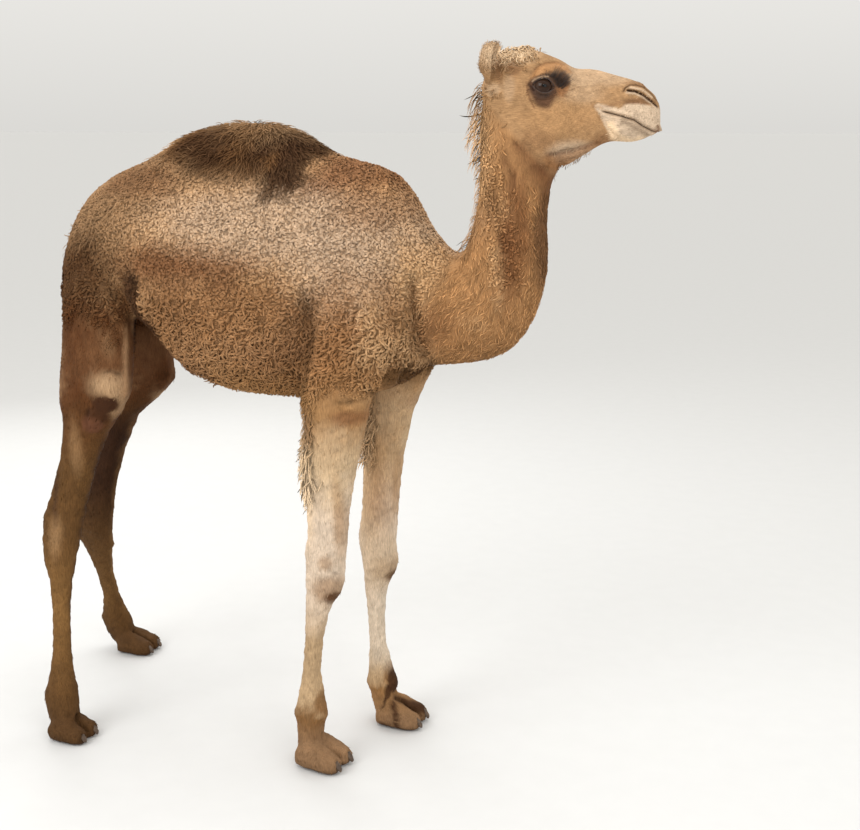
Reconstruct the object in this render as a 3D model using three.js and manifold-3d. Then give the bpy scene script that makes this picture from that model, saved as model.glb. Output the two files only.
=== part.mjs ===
// A young dromedary camel, about a year old, standing square on its four feet with its head up.
// Millimetres. +X is the way the body faces, +Y is its left side, +Z is up, and the floor is z = 0.
// The whole body is made first, from lofts of oval rings, and thin cuts then part it into its named pieces.
import * as THREE from "three";
import { mergeVertices } from "three/addons/utils/BufferGeometryUtils.js";
import Module from "manifold-3d";

const wasm = await Module();
wasm.setup();

// ---- driving sizes -------------------------------------------------------------------------------
const GAP = 0.3; // clear space at every cut and socket
const REST = 0.8; // how far the ears and the tail stand off the body they grow from
const CENTRE = { x: -270, y: -3 }; // moves the body so that its box is centred on the origin
const NECK = { x: 560, y: 0, yaw: 10 }; // where the neck's own plane starts, and how far it turns left, degrees
const HEAD = { x: 800, y: 42, z: 1650, yaw: 17 }; // the head's own origin, and how far it turns left
const EYE = { x: 74, y: 70, z: 42, radius: 18 }; // in the head's frame
const CUT = { hump: 1532, foreleg: 912, hindleg: 972 }; // heights of the level cuts on the trunk

const COLOURS = {
  fleece: [0xb08a63, 0.95],
  hump: [0x6f523a, 0.95],
  tan: [0xb98f63, 0.9],
  fawn: [0xc9ac86, 0.9],
  brown: [0x8a6542, 0.9],
  sole: [0x7d6448, 0.8],
  claw: [0x4a3d35, 0.45],
  eye: [0x1d120c, 0.1],
};

// ---- rings and lofts -----------------------------------------------------------------------------
/** Catmull-Rom value through four numbers, at share t between the middle two. */
function spline(p0, p1, p2, p3, t) {
  const bend = 2 * p0 - 5 * p1 + 4 * p2 - p3;
  const twist = -p0 + 3 * p1 - 3 * p2 + p3;
  return 0.5 * (2 * p1 + (p2 - p0) * t + bend * t * t + twist * t * t * t);
}

/** The stations with `steps` rings for each span between them, every number running smoothly. */
function smoothed(stations, steps) {
  const last = stations.length - 1;
  const pick = (i) => stations[Math.min(last, Math.max(0, i))];
  const out = [];
  for (let i = 0; i <= last * steps; i++) {
    const k = Math.min(last - 1, Math.floor(i / steps));
    const t = i / steps - k;
    const ring = {};
    for (const key of Object.keys(stations[0]))
      ring[key] = spline(pick(k - 1)[key], pick(k)[key], pick(k + 1)[key], pick(k + 2)[key], t);
    out.push(ring);
  }
  return out;
}

/**
 * A point of an oval ring. The ring runs from its top (tx, tz) to its bottom (bx, bz) and is `half`
 * wide to each side of y. It is widest at the share `fat` of the way up, and `up` and `down` are the
 * exponents of its two halves: 2 is an ellipse, less is pointed and more is square.
 */
function ringPoint(ring, angle, grow) {
  const [c, s] = [Math.cos(angle), Math.sin(angle)];
  const power = 2 / (s > 0 ? ring.up : ring.down);
  const across = Math.sign(c) * Math.abs(c) ** power * (ring.half + grow);
  const [dx, dz] = [ring.tx - ring.bx, ring.tz - ring.bz];
  const length = Math.hypot(dx, dz);
  const reach = (s > 0 ? 1 - ring.fat : ring.fat) * length + grow;
  const along = ring.fat * length + Math.sign(s) * Math.abs(s) ** power * reach;
  return [ring.bx + (dx / length) * along, ring.y + across, ring.bz + (dz / length) * along];
}

/** A closed geometry through lists of points, one list for each ring, with a fan on each end. */
function skinned(rings) {
  const sides = rings[0].length;
  const points = rings.flat();
  const faces = [];
  for (let i = 0; i + 1 < rings.length; i++)
    for (let j = 0; j < sides; j++) {
      const [a, b] = [i * sides + j, i * sides + ((j + 1) % sides)];
      faces.push(a, b, b + sides, a, b + sides, a + sides);
    }
  for (const [ring, first, flip] of [
    [rings[0], 0, false],
    [rings.at(-1), (rings.length - 1) * sides, true],
  ]) {
    points.push(centroid(ring));
    for (let j = 0; j < sides; j++) {
      const [a, b] = [first + j, first + ((j + 1) % sides)];
      faces.push(points.length - 1, flip ? a : b, flip ? b : a);
    }
  }
  const geometry = new THREE.BufferGeometry();
  geometry.setAttribute("position", new THREE.Float32BufferAttribute(points.flat(), 3));
  geometry.setIndex(faces);
  return geometry;
}

/** The middle of a list of points. */
const centroid = (points) => [0, 1, 2].map((k) => points.reduce((sum, p) => sum + p[k], 0) / points.length);

/** Moves an end ring outwards by `grow`, away from the ring beside it. */
function pushedOut(end, beside, grow) {
  const [a, b] = [centroid(end), centroid(beside)];
  const away = a.map((value, k) => value - b[k]);
  return end.map((p) => p.map((value, k) => value + (away[k] / Math.hypot(...away)) * grow));
}

/**
 * A loft through the stations, `grow` larger all round. `shape` may move each point, for bumps and
 * hollows.
 */
function loft(stations, { steps = 3, sides = 16, grow = 0, shape = (p) => p } = {}) {
  const rings = smoothed(stations, steps).map((ring) =>
    Array.from({ length: sides }, (_, j) => shape(ringPoint(ring, (2 * Math.PI * (j + 0.5)) / sides, grow))),
  );
  rings[0] = pushedOut(rings[0], rings[1], grow);
  rings[rings.length - 1] = pushedOut(rings.at(-1), rings.at(-2), grow);
  return skinned(rings);
}

/** A station from plain numbers. */
const station = (tx, tz, bx, bz, half, y = 0, fat = 0.5, up = 2, down = 2) => ({
  tx, tz, bx, bz, half, y, fat, up, down,
});

/** A closed geometry as a manifold solid, whichever way its faces point. */
function solid(geometry, matrix = new THREE.Matrix4()) {
  const bare = new THREE.BufferGeometry();
  bare.setAttribute("position", geometry.getAttribute("position"));
  bare.setIndex(geometry.index);
  const merged = mergeVertices(bare.applyMatrix4(matrix), 1e-3);
  const mesh = (triVerts) =>
    new wasm.Manifold(
      new wasm.Mesh({ numProp: 3, vertProperties: merged.attributes.position.array, triVerts }),
    );
  const made = mesh(new Uint32Array(merged.index.array));
  return made.volume() > 0 ? made : mesh(new Uint32Array(merged.index.array).reverse());
}

/** The matrix that turns by yaw degrees about +Z, then moves to (x, y, z). */
const placed = (x, y, z, yaw = 0) =>
  new THREE.Matrix4().makeRotationZ(THREE.MathUtils.degToRad(yaw)).setPosition(x, y, z);

/** A thin slab to cut with, at a point, tilted by `tilt` degrees about Y, inside the given placing. */
function slab(x, y, z, long, wide, tilt = 0, place = new THREE.Matrix4()) {
  const turn = new THREE.Matrix4().makeRotationY(THREE.MathUtils.degToRad(tilt)).setPosition(x, y, z);
  return solid(new THREE.BoxGeometry(long, wide, GAP).toNonIndexed(), place.clone().multiply(turn));
}

// ---- trunk and hump ------------------------------------------------------------------------------
const TRUNK = [
  station(-440, 1244, -438, 1140, 34, 0, 0.5, 2, 2),
  station(-420, 1298, -424, 1062, 80, 0, 0.5, 2, 2),
  station(-388, 1367, -394, 1020, 118, 0, 0.52, 1.95, 2),
  station(-340, 1438, -342, 1035, 152, 0, 0.5, 1.9, 2),
  station(-262, 1490, -274, 1092, 180, 0, 0.48, 1.75, 2),
  station(-165, 1526, -205, 1112, 212, 0, 0.44, 1.65, 2.1),
  station(-75, 1576, -118, 1070, 238, 0, 0.41, 1.6, 2.2),
  station(25, 1606, -10, 968, 252, 0, 0.42, 1.55, 2.3),
  station(140, 1619, 110, 927, 254, 0, 0.44, 1.55, 2.3),
  station(250, 1598, 235, 922, 238, 0, 0.44, 1.6, 2.2),
  station(345, 1546, 335, 926, 212, 0, 0.46, 1.75, 2.1),
  station(440, 1523, 430, 934, 186, 0, 0.5, 1.85, 2),
  station(528, 1492, 515, 958, 158, 0, 0.5, 1.9, 2),
  station(590, 1408, 585, 1004, 122, 0, 0.48, 1.9, 2),
  station(622, 1340, 620, 1050, 84, 0, 0.48, 1.9, 2),
];

// ---- neck, in the neck's own plane: x runs forward from NECK -------------------------------------
const NECK_RINGS = [
  station(-110, 1440, -60, 1030, 120),
  station(-20, 1440, -8, 1016, 128),
  station(52, 1372, 62, 1020, 116),
  station(108, 1306, 130, 1027, 100),
  station(136, 1316, 205, 1042, 92),
  station(149, 1356, 264, 1077, 86),
  station(160, 1402, 316, 1158, 80),
  station(167, 1450, 340, 1270, 76),
  station(169, 1505, 336, 1380, 74),
  station(169, 1562, 345, 1460, 74),
  station(168, 1630, 366, 1518, 70),
  station(185, 1700, 372, 1580, 58),
];

// ---- head, in its own frame: x runs forward and z up from HEAD -----------------------------------
const HEAD_RINGS = [
  station(-70, 46, -62, -40, 38, 0, 0.6, 2.2, 2),
  station(-52, 92, -50, -80, 57, 0, 0.62, 2.1, 1.9),
  station(-22, 120, -20, -100, 66, 0, 0.64, 2.1, 1.8),
  station(20, 129, 22, -112, 70, 0, 0.66, 2.2, 1.7),
  station(52, 129, 60, -120, 77, 0, 0.68, 2.2, 1.6),
  station(84, 118, 100, -138, 80, 0, 0.7, 2.2, 1.55),
  station(116, 105, 130, -143, 72, 0, 0.68, 2.1, 1.6),
  station(150, 86, 158, -127, 59, 0, 0.6, 2.1, 1.8),
  station(184, 82, 186, -109, 51, 0, 0.52, 2.1, 2),
  station(220, 75, 218, -90, 47, 0, 0.48, 2.1, 2.1),
  station(256, 67, 250, -82, 46, 0, 0.46, 2.2, 2.2),
  station(290, 54, 286, -84, 46, 0, 0.46, 2.3, 2.3),
  station(319, 39, 313, -78, 43, 0, 0.46, 2.3, 2.3),
  station(338, 22, 334, -68, 36, 0, 0.44, 2.2, 2.2),
  station(350, -6, 350, -62, 22, 0, 0.44, 2, 2),
];

/** Bumps and hollows of the head: centre, reach and height in millimetres, on both sides alike. */
const HEAD_FORMS = [
  { x: 76, z: 66, reach: 24, out: 9 }, // the brow over the eye
  { x: 110, z: 30, reach: 24, out: -7 }, // the hollow in front of the eye
  { x: 22, z: 62, reach: 26, out: -6 }, // the temple
  { x: 40, z: -42, reach: 40, out: 8 }, // the cheek muscle
  { x: 160, z: -30, reach: 34, out: -5 }, // the hollow behind the mouth
  { x: 300, z: 34, reach: 22, out: 4 }, // the nostril's wing
  { x: 296, z: -24, reach: 20, out: 6 }, // the upper lip
  { x: 290, z: -58, reach: 18, out: 3 }, // the lower lip
];

/** Moves a point of the head by its forms. */
function headShape([x, y, z]) {
  const side = Math.sign(y) * Math.min(1, Math.abs(y) / 30);
  const push = HEAD_FORMS.reduce((sum, f) => {
    const far = ((x - f.x) ** 2 + (z - f.z) ** 2) / f.reach ** 2;
    return sum + f.out * Math.exp(-far);
  }, 0);
  return [x, y + side * push, z];
}

// ---- ears: a cupped leaf, closed, with its hollow facing forward and out --------------------------
const EAR = { length: 97, wide: 25, deep: 36, wall: 6, x: -39, y: 50, z: 54, lean: 1, splay: 20, turn: 14 };

/** One ear. `side` is 1 for the left and -1 for the right. */
function ear(side) {
  const [levels, across] = [8, 5];
  const rings = Array.from({ length: levels + 1 }, (_, i) => {
    const t = Math.sin((Math.PI / 2) * (i / levels) * 0.96);
    const swell = (0.66 + 0.34 * Math.sin(Math.PI * t)) * Math.sqrt(1 - t ** 11);
    const wide = EAR.wide * swell;
    const deep = EAR.deep * (1 - 0.2 * t) * swell;
    const back = Array.from({ length: across + 1 }, (_, j) => {
      const a = (Math.PI * j) / across;
      return [-deep * Math.sin(a), wide * Math.cos(a), EAR.length * t];
    });
    const front = back
      .map(([x, y, z]) => [x * (0.25 + 0.5 * (1 - t)) + EAR.wall * 0.5, y * 0.9, z])
      .reverse();
    return [...back, ...front];
  });
  const turn = new THREE.Matrix4()
    .makeRotationFromEuler(
      new THREE.Euler(
        THREE.MathUtils.degToRad(-side * EAR.splay),
        THREE.MathUtils.degToRad(EAR.lean),
        THREE.MathUtils.degToRad(side * EAR.turn),
        "XYZ",
      ),
    )
    .setPosition(EAR.x, side * EAR.y, EAR.z);
  return solid(skinned(rings), headPlace.clone().multiply(turn));
}

// ---- legs ----------------------------------------------------------------------------------------
// A profile row says how thick the leg is: `at` counts joints from the top (0 to 4), and fore, aft and
// side are the distances from the line through the joints to the leg's front, back and sides.
const row = (at, fore, aft, side) => ({ at, fore, aft, side });
const FORELEG = [
  row(0, 55, 55, 48),
  row(0.3, 105, 82, 70),
  row(0.6, 132, 96, 80),
  row(0.85, 104, 92, 76),
  row(1, 76, 82, 68),
  row(1.15, 60, 72, 57),
  row(1.4, 58, 72, 50),
  row(1.65, 58, 58, 43),
  row(1.85, 56, 50, 42),
  row(2, 54, 52, 44),
  row(2.1, 54, 50, 43),
  row(2.2, 40, 45, 37),
  row(2.32, 20, 43, 30),
  row(2.5, 11, 37, 25),
  row(2.7, 12, 35, 25),
  row(2.85, 29, 38, 31),
  row(3, 44, 44, 39),
  row(3.3, 38, 38, 38),
  row(3.6, 30, 32, 38),
];
const HINDLEG = [
  row(0, 62, 62, 50),
  row(0.25, 112, 84, 66),
  row(0.5, 114, 98, 72),
  row(0.75, 104, 114, 70),
  row(1, 88, 126, 60),
  row(1.12, 76, 116, 54),
  row(1.28, 52, 84, 46),
  row(1.5, 47, 62, 39),
  row(1.75, 53, 58, 36),
  row(1.92, 58, 60, 37),
  row(2.08, 54, 60, 38),
  row(2.2, 42, 54, 34),
  row(2.32, 31, 33, 29),
  row(2.5, 24, 25, 25),
  row(2.72, 26, 27, 25),
  row(2.88, 34, 41, 31),
  row(3, 46, 56, 39),
  row(3.3, 44, 51, 38),
  row(3.6, 36, 39, 38),
];

/** A profile with some of its rows made thicker or thinner: for each height, by how much before and behind. */
const changed = (profile, changes) =>
  profile.map((r) => {
    const [fore, aft] = changes[r.at] ?? [0, 0];
    return { ...r, fore: r.fore + fore, aft: r.aft + aft };
  });

// The hind leg that reaches back shows more of its flank above the stifle, and less shank below it.
const REACHING_HINDLEG = changed(HINDLEG, {
  1: [32, -12], 1.12: [10, -12], 1.28: [-22, -4], 1.5: [-24, 0], 1.75: [-15, 0], 1.92: [-3, 0], 2.08: [2, 4],
  2.2: [9, 14], 2.32: [8, 12], 2.5: [2, 4],
});
// The foreleg that bears less weight has a slimmer forearm.
const SLIM_FORELEG = changed(FORELEG, {
  0.85: [-6, 0], 1: [-6, 0], 1.15: [-14, 0], 1.4: [-24, 4], 1.65: [-17, 6], 1.85: [-10, 8], 2: [-5, 6],
});
// The other, which bears more, is deeper below the elbow.
const DEEP_FORELEG = changed(FORELEG, { 0.85: [10, 0], 1: [20, 0], 1.15: [28, 0], 1.4: [12, 0] });

// Each leg's joints, from the top down to the middle of the sole, and the way its foot points.
const joint = (x, y, z) => ({ x, y, z });
const LEGS = {
  foreleg_right: {
    profile: DEEP_FORELEG,
    joints: [joint(478, -92, 1340), joint(425, -165, 950), joint(396, -165, 535), joint(358, -184, 138), joint(356, -187, 0)],
    foot: { x: 381, y: -187, yaw: -3, size: 0.95 },
  },
  foreleg_left: {
    profile: SLIM_FORELEG,
    joints: [joint(492, 92, 1340), joint(460, 142, 930), joint(414, 122, 505), joint(418, 128, 108), joint(440, 122, 0)],
    foot: { x: 467, y: 120, yaw: 4, size: 0.95 },
  },
  hindleg_right: {
    profile: HINDLEG,
    joints: [joint(-300, -105, 1335), joint(-240, -178, 935), joint(-374, -196, 548), joint(-335, -284, 112), joint(-318, -296, 0)],
    foot: { x: -311, y: -296, yaw: 2, size: 0.83 },
  },
  hindleg_left: {
    profile: REACHING_HINDLEG,
    joints: [joint(-330, 105, 1325), joint(-352, 160, 915), joint(-517, 142, 470), joint(-553, 284, 106), joint(-528, 298, 0)],
    foot: { x: -502, y: 298, yaw: 8, size: 0.87 },
  },
};

/** Rings of a leg: its profile laid along the line through its joints. */
function legRings({ profile, joints }) {
  const line = (at, key) => {
    const k = Math.min(joints.length - 2, Math.floor(at));
    const pick = (i) => joints[Math.min(joints.length - 1, Math.max(0, i))][key];
    const straight = pick(k) + (pick(k + 1) - pick(k)) * (at - k);
    return 0.65 * straight + 0.35 * spline(pick(k - 1), pick(k), pick(k + 1), pick(k + 2), at - k);
  };
  return profile.map(({ at, fore, aft, side }) => {
    const [x, y, z] = [line(at, "x"), line(at, "y"), line(at, "z")];
    const [before, after] = [Math.max(0, at - 0.25), Math.min(4, at + 0.25)];
    const slope = (line(after, "x") - line(before, "x")) / (line(before, "z") - line(after, "z"));
    const lift = Math.atan(slope) * 0.5;
    return station(
      x + fore * Math.cos(lift), z + fore * Math.sin(lift),
      x - aft * Math.cos(lift), z - aft * Math.sin(lift),
      side, y, aft / (fore + aft), 2.1, 2,
    );
  });
}

// ---- feet: two toes on one broad pad, in the foot's own frame ------------------------------------
const TOE_RINGS = [
  station(-62, 34, -58, 6, 12, 14),
  station(-50, 60, -50, -3, 34, 20),
  station(-20, 82, -22, -5, 42, 24),
  station(12, 72, 12, -5, 41, 29),
  station(40, 57, 40, -5, 37, 32),
  station(62, 45, 62, -4, 31, 32),
  station(76, 30, 76, 2, 19, 32),
];
const CLAW_RINGS = [
  station(60, 40, 62, 25, 8, 33),
  station(69, 37, 70, 17, 10, 33),
  station(77, 29, 78, 11, 9, 33),
  station(84, 18, 84, 8, 5, 33),
];

/** One part of a foot, mirrored for the inner or outer toe, standing where the foot stands. */
const onFoot = (rings, foot, side, options) =>
  solid(
    loft(rings.map((r) => ({ ...r, y: r.y * side })), { steps: 1, ...options }),
    placed(foot.x, foot.y, 0, foot.yaw).scale(new THREE.Vector3(foot.size, foot.size, foot.size)),
  );

// ---- tail ----------------------------------------------------------------------------------------
const TAIL_RINGS = [
  station(-430, 1292, -410, 1246, 24, 14),
  station(-452, 1262, -418, 1226, 22, 18),
  station(-462, 1196, -428, 1186, 18, 24),
  station(-464, 1100, -436, 1098, 14, 30),
  station(-464, 1000, -436, 1000, 15, 34),
  station(-466, 930, -430, 930, 20, 36),
  station(-456, 872, -436, 872, 9, 36),
];

// ---- the whole body ------------------------------------------------------------------------------
const neckPlace = placed(NECK.x, NECK.y, 0, NECK.yaw);
const headPlace = placed(HEAD.x, HEAD.y, HEAD.z, HEAD.yaw);

const trunkSolid = (grow) => solid(loft(TRUNK, { steps: 2, sides: 22, grow }));
const legSolid = (leg, grow) => solid(loft(legRings(leg), { steps: 1, sides: 12, grow }));
const headSolid = (grow) => solid(loft(HEAD_RINGS, { steps: 2, sides: 20, shape: headShape, grow }), headPlace);

let body = trunkSolid(0)
  .add(solid(loft(NECK_RINGS, { steps: 2, sides: 14 }), neckPlace))
  .add(headSolid(0));
for (const leg of Object.values(LEGS)) {
  body = body.add(legSolid(leg, 0));
  for (const side of [-1, 1]) body = body.add(onFoot(TOE_RINGS, leg.foot, side, { sides: 9 }));
}

// The floor cuts a flat on each pad.
const FLOOR_DEPTH = 60;
const floor = solid(new THREE.BoxGeometry(3000, 2000, FLOOR_DEPTH).toNonIndexed(), placed(0, 0, -FLOOR_DEPTH / 2));
body = body.subtract(floor);

// ---- separate pieces, each in a socket of its own shape ------------------------------------------
const pieces = [];
const sides = { right: -1, left: 1 };
for (const [name, side] of Object.entries(sides)) {
  const at = headPlace.clone().multiply(placed(EYE.x, side * EYE.y, EYE.z));
  const ball = (radius) => solid(new THREE.SphereGeometry(radius, 12, 9), at);
  pieces.push({ name: `eye_${name}`, solid: ball(EYE.radius), colour: "eye" });
  body = body.subtract(ball(EYE.radius + GAP));
  pieces.push({ name: `ear_${name}`, solid: ear(side).subtract(headSolid(REST)), colour: "tan" });
}
const tail = solid(loft(TAIL_RINGS, { steps: 2, sides: 8 }))
  .subtract(trunkSolid(REST))
  .subtract(legSolid(LEGS.hindleg_left, REST))
  .subtract(legSolid(LEGS.hindleg_right, REST));
pieces.push({ name: "tail", solid: tail, colour: "brown" });
for (const [name, leg] of Object.entries(LEGS))
  for (const [toe, side] of [["outer", name.endsWith("left") ? 1 : -1], ["inner", name.endsWith("left") ? -1 : 1]]) {
    const claw = (grow) => onFoot(CLAW_RINGS, leg.foot, side, { sides: 8, grow });
    pieces.push({ name: `${name}_claw_${toe}`, solid: claw(0), colour: "claw" });
    body = body.subtract(claw(GAP));
  }

// ---- thin cuts through the flesh -----------------------------------------------------------------
body = body
  .subtract(slab(15, 0, -66, 420, 300, 44.5, headPlace)) // head from neck
  .subtract(slab(60, 0, 1200, 580, 460, 80.5, neckPlace)) // neck from trunk
  .subtract(slab(120, 0, CUT.hump, 900, 700)); // hump from back
for (const [name, { joints }] of Object.entries(LEGS)) {
  const [, upper, middle, fetlock] = joints;
  const fore = name.startsWith("fore");
  const side = name.endsWith("left") ? 1 : -1;
  body = body
    .subtract(fore ? slab(upper.x, side * 170, CUT.foreleg, 320, 330) : slab(-330, side * 190, CUT.hindleg, 410, 320))
    .subtract(slab(middle.x, middle.y, middle.z, 240, 190))
    .subtract(slab(fetlock.x, fetlock.y, fetlock.z, 220, 200));
}

// Each piece of flesh is the one that holds, or lies nearest to, its mark.
const marks = {
  head: { x: 930, y: 80, z: 1660, colour: "tan" },
  neck: { x: 760, y: 40, z: 1300, colour: "tan" },
  trunk: { x: 100, y: 0, z: 1230, colour: "fleece" },
  hump: { x: 110, y: 0, z: 1565, colour: "hump" },
};
for (const [name, { joints }] of Object.entries(LEGS)) {
  const [, upper, middle, fetlock, sole] = joints;
  const between = (a, b, low) => ({ x: (a.x + b.x) / 2, y: (a.y + b.y) / 2, z: low });
  const colour = name.startsWith("fore") ? "fawn" : "brown";
  marks[`${name}_upper`] = { ...between(upper, middle, (upper.z + middle.z) / 2), colour };
  marks[`${name}_cannon`] = { ...between(middle, fetlock, (middle.z + fetlock.z) / 2), colour };
  marks[`${name}_foot`] = { ...between(fetlock, sole, 50), colour: "sole" };
}
const middleOf = (part) => {
  const { min, max } = part.boundingBox();
  return [0, 1, 2].map((k) => (min[k] + max[k]) / 2);
};
for (const part of body.decompose()) {
  const at = middleOf(part);
  const away = ({ x, y, z }) => Math.hypot(at[0] - x, at[1] - y, at[2] - z);
  const [name, mark] = Object.entries(marks).sort((a, b) => away(a[1]) - away(b[1]))[0];
  pieces.push({ name, solid: part, colour: mark.colour });
}

// ---- the scene graph -----------------------------------------------------------------------------
/** A named mesh of a solid, in one of the colours. */
function meshOf({ name, solid: made, colour }) {
  const mesh = made.getMesh();
  const geometry = new THREE.BufferGeometry();
  geometry.setAttribute("position", new THREE.BufferAttribute(new Float32Array(mesh.vertProperties), 3));
  geometry.setIndex(new THREE.BufferAttribute(new Uint32Array(mesh.triVerts), 1));
  const [color, roughness] = COLOURS[colour];
  const out = new THREE.Mesh(geometry, new THREE.MeshStandardMaterial({ color, roughness, metalness: 0 }));
  out.name = name;
  return out;
}

const camel = new THREE.Group();
camel.position.set(CENTRE.x, CENTRE.y, 0);
for (const piece of pieces) camel.add(meshOf(piece));
export default camel;
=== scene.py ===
"""A still, life-size young dromedary camel: one skin, and a coat of solid locks of hair over it."""

import sys

import logging
import math
from dataclasses import dataclass, field
from enum import Enum
from typing import Any, Callable, Sequence

import bmesh
import bpy
import numpy as np
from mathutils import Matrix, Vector
from mathutils.bvhtree import BVHTree


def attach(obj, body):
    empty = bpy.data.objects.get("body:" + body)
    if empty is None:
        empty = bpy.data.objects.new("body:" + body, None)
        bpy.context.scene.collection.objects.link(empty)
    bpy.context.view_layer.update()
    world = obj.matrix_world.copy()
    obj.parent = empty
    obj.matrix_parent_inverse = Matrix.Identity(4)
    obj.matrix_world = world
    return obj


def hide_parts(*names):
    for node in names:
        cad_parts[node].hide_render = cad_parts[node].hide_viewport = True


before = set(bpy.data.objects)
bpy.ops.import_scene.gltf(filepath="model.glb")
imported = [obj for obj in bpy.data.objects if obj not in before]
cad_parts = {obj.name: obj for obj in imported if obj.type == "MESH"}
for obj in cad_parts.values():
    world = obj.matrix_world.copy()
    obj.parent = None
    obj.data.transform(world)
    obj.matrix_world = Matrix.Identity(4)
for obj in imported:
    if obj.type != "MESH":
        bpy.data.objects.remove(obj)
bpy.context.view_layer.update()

LOG = logging.getLogger("camel")
UP = np.array([0.0, 0.0, 1.0])
SIDES = {"right": -1.0, "left": 1.0}
# What the skin and the locks carry for each point: its colour, the way the hair lies, the way off the skin,
# the root's place, and shares from root to tip, round the lock, and from lock to lock.
COLOUR, LIE, UPRIGHT = "coat_colour", "lie", "upright"
ROOT, TIP, ROUND, TONE = "root", "tip", "round", "tone"


# ---- small tools --------------------------------------------------------------------------------


def unit(vectors: np.ndarray) -> np.ndarray:
    """Vectors of length one, along the last axis."""
    return vectors / np.maximum(np.linalg.norm(vectors, axis=-1, keepdims=True), 1e-9)


def rise(low: float, high: float, values: np.ndarray) -> np.ndarray:
    """A smooth step from 0 at `low` to 1 at `high`, which may be the smaller of the two."""
    t = np.clip((values - low) / (high - low), 0.0, 1.0)
    return t * t * (3.0 - 2.0 * t)


def hill(distance: np.ndarray, reach: float) -> np.ndarray:
    """A bell that is 1 at distance 0 and has nearly gone at twice `reach`."""
    return np.exp(-((distance / reach) ** 2))


def ripple(points: np.ndarray, size: float, seed: int) -> np.ndarray:
    """Smooth waves, with the same value at the same place each run.

    Args:
        points: where they are read.
        size: about how long a wave is.
        seed: which waves these are.

    Returns:
        A value for each point, mostly from -1 to 1.
    """
    rng = np.random.default_rng(seed)
    total = np.zeros(len(points))
    count = 7
    for _ in range(count):
        way = unit(rng.normal(size=3))
        turns = 2 * math.pi / (size * rng.uniform(0.7, 1.5))
        total += np.sin(points @ way * turns + rng.uniform(0, 2 * math.pi))
    return total / math.sqrt(count)


def linear(red: int, green: int, blue: int) -> tuple[float, float, float]:
    """A screen colour as the linear colour that shaders use.

    Args:
        red, green, blue: the screen colour, from 0 to 255.

    Returns:
        The three shares of the linear colour.
    """
    return tuple(
        c / 12.92 if c <= 0.04045 else ((c + 0.055) / 1.055) ** 2.4
        for c in (red / 255, green / 255, blue / 255)
    )


@dataclass(frozen=True)
class Place:
    """A frame of its own that stands on the row's frame, turned about the vertical."""

    x: float
    y: float
    z: float
    yaw: float

    @property
    def axes(self) -> np.ndarray:
        """Its three directions as rows: forward, left and up."""
        c, s = math.cos(math.radians(self.yaw)), math.sin(math.radians(self.yaw))
        return np.array([[c, s, 0.0], [-s, c, 0.0], [0.0, 0.0, 1.0]])

    def inside(self, points: np.ndarray) -> np.ndarray:
        """Points of the row's frame, as this frame sees them."""
        return (points - np.array([self.x, self.y, self.z])) @ self.axes.T

    def outside(self, points: np.ndarray) -> np.ndarray:
        """Points of this frame, in the row's frame."""
        return np.asarray(points) @ self.axes + np.array([self.x, self.y, self.z])

    def turned(self, directions: np.ndarray) -> np.ndarray:
        """Directions of this frame, in the row's frame."""
        return np.asarray(directions) @ self.axes


HEAD = Place(0.530, 0.039, 1.650, 17.0)
NECK = Place(0.290, -0.003, 0.0, 10.0)


@dataclass(frozen=True)
class Path:
    """A line through a few points, and how near other points come to it."""

    points: np.ndarray

    def nearest(self, points: np.ndarray) -> tuple[np.ndarray, np.ndarray, np.ndarray]:
        """How near points come to the line.

        Args:
            points: the points, with as many coordinates as the line has.

        Returns:
            For each point its distance, its share of the line's length, and the line's way there.
        """
        best = np.full(len(points), np.inf)
        share = np.zeros(len(points))
        way = np.zeros((len(points), self.points.shape[1]))
        legs = np.diff(self.points, axis=0)
        lengths = np.linalg.norm(legs, axis=1)
        begun = np.concatenate([[0.0], np.cumsum(lengths)]) / lengths.sum()
        for i, leg in enumerate(legs):
            t = np.clip((points - self.points[i]) @ leg / (leg @ leg), 0.0, 1.0)
            gap = np.linalg.norm(points - self.points[i] - t[:, None] * leg, axis=1)
            near = gap < best
            best[near] = gap[near]
            share[near] = begun[i] + t[near] * (begun[i + 1] - begun[i])
            way[near] = leg / lengths[i]
        return best, share, way


def near_line(
    line: Sequence[Sequence[float]], points: np.ndarray
) -> tuple[np.ndarray, np.ndarray, np.ndarray]:
    """How near points come to a line.

    Args:
        line: the places that it goes through.
        points: the points.

    Returns:
        As Path.nearest.
    """
    return Path(np.array(line)).nearest(points)


def on_right(points: np.ndarray) -> np.ndarray:
    """Points of both flanks, as if all lay on the right one."""
    return np.stack([points[:, 0], -np.abs(points[:, 1]), points[:, 2]], axis=1)


# The lines that the limbs and the neck follow, in the row's frame, from the top down.
LIMB_JOINTS = {
    "foreleg_right": [[0.208, -0.095, 1.34], [0.155, -0.168, 0.95], [0.126, -0.168, 0.535],
                      [0.088, -0.187, 0.138], [0.086, -0.190, 0.0]],
    "foreleg_left": [[0.222, 0.089, 1.34], [0.190, 0.139, 0.93], [0.144, 0.119, 0.505],
                     [0.148, 0.125, 0.108], [0.170, 0.119, 0.0]],
    "hindleg_right": [[-0.570, -0.108, 1.335], [-0.510, -0.181, 0.935], [-0.644, -0.199, 0.548],
                      [-0.605, -0.287, 0.112], [-0.588, -0.299, 0.0]],
    "hindleg_left": [[-0.600, 0.102, 1.325], [-0.622, 0.157, 0.915], [-0.787, 0.139, 0.470],
                     [-0.823, 0.281, 0.106], [-0.798, 0.295, 0.0]],
}
LIMBS = {name: Path(np.array(joints)) for name, joints in LIMB_JOINTS.items()}
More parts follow.
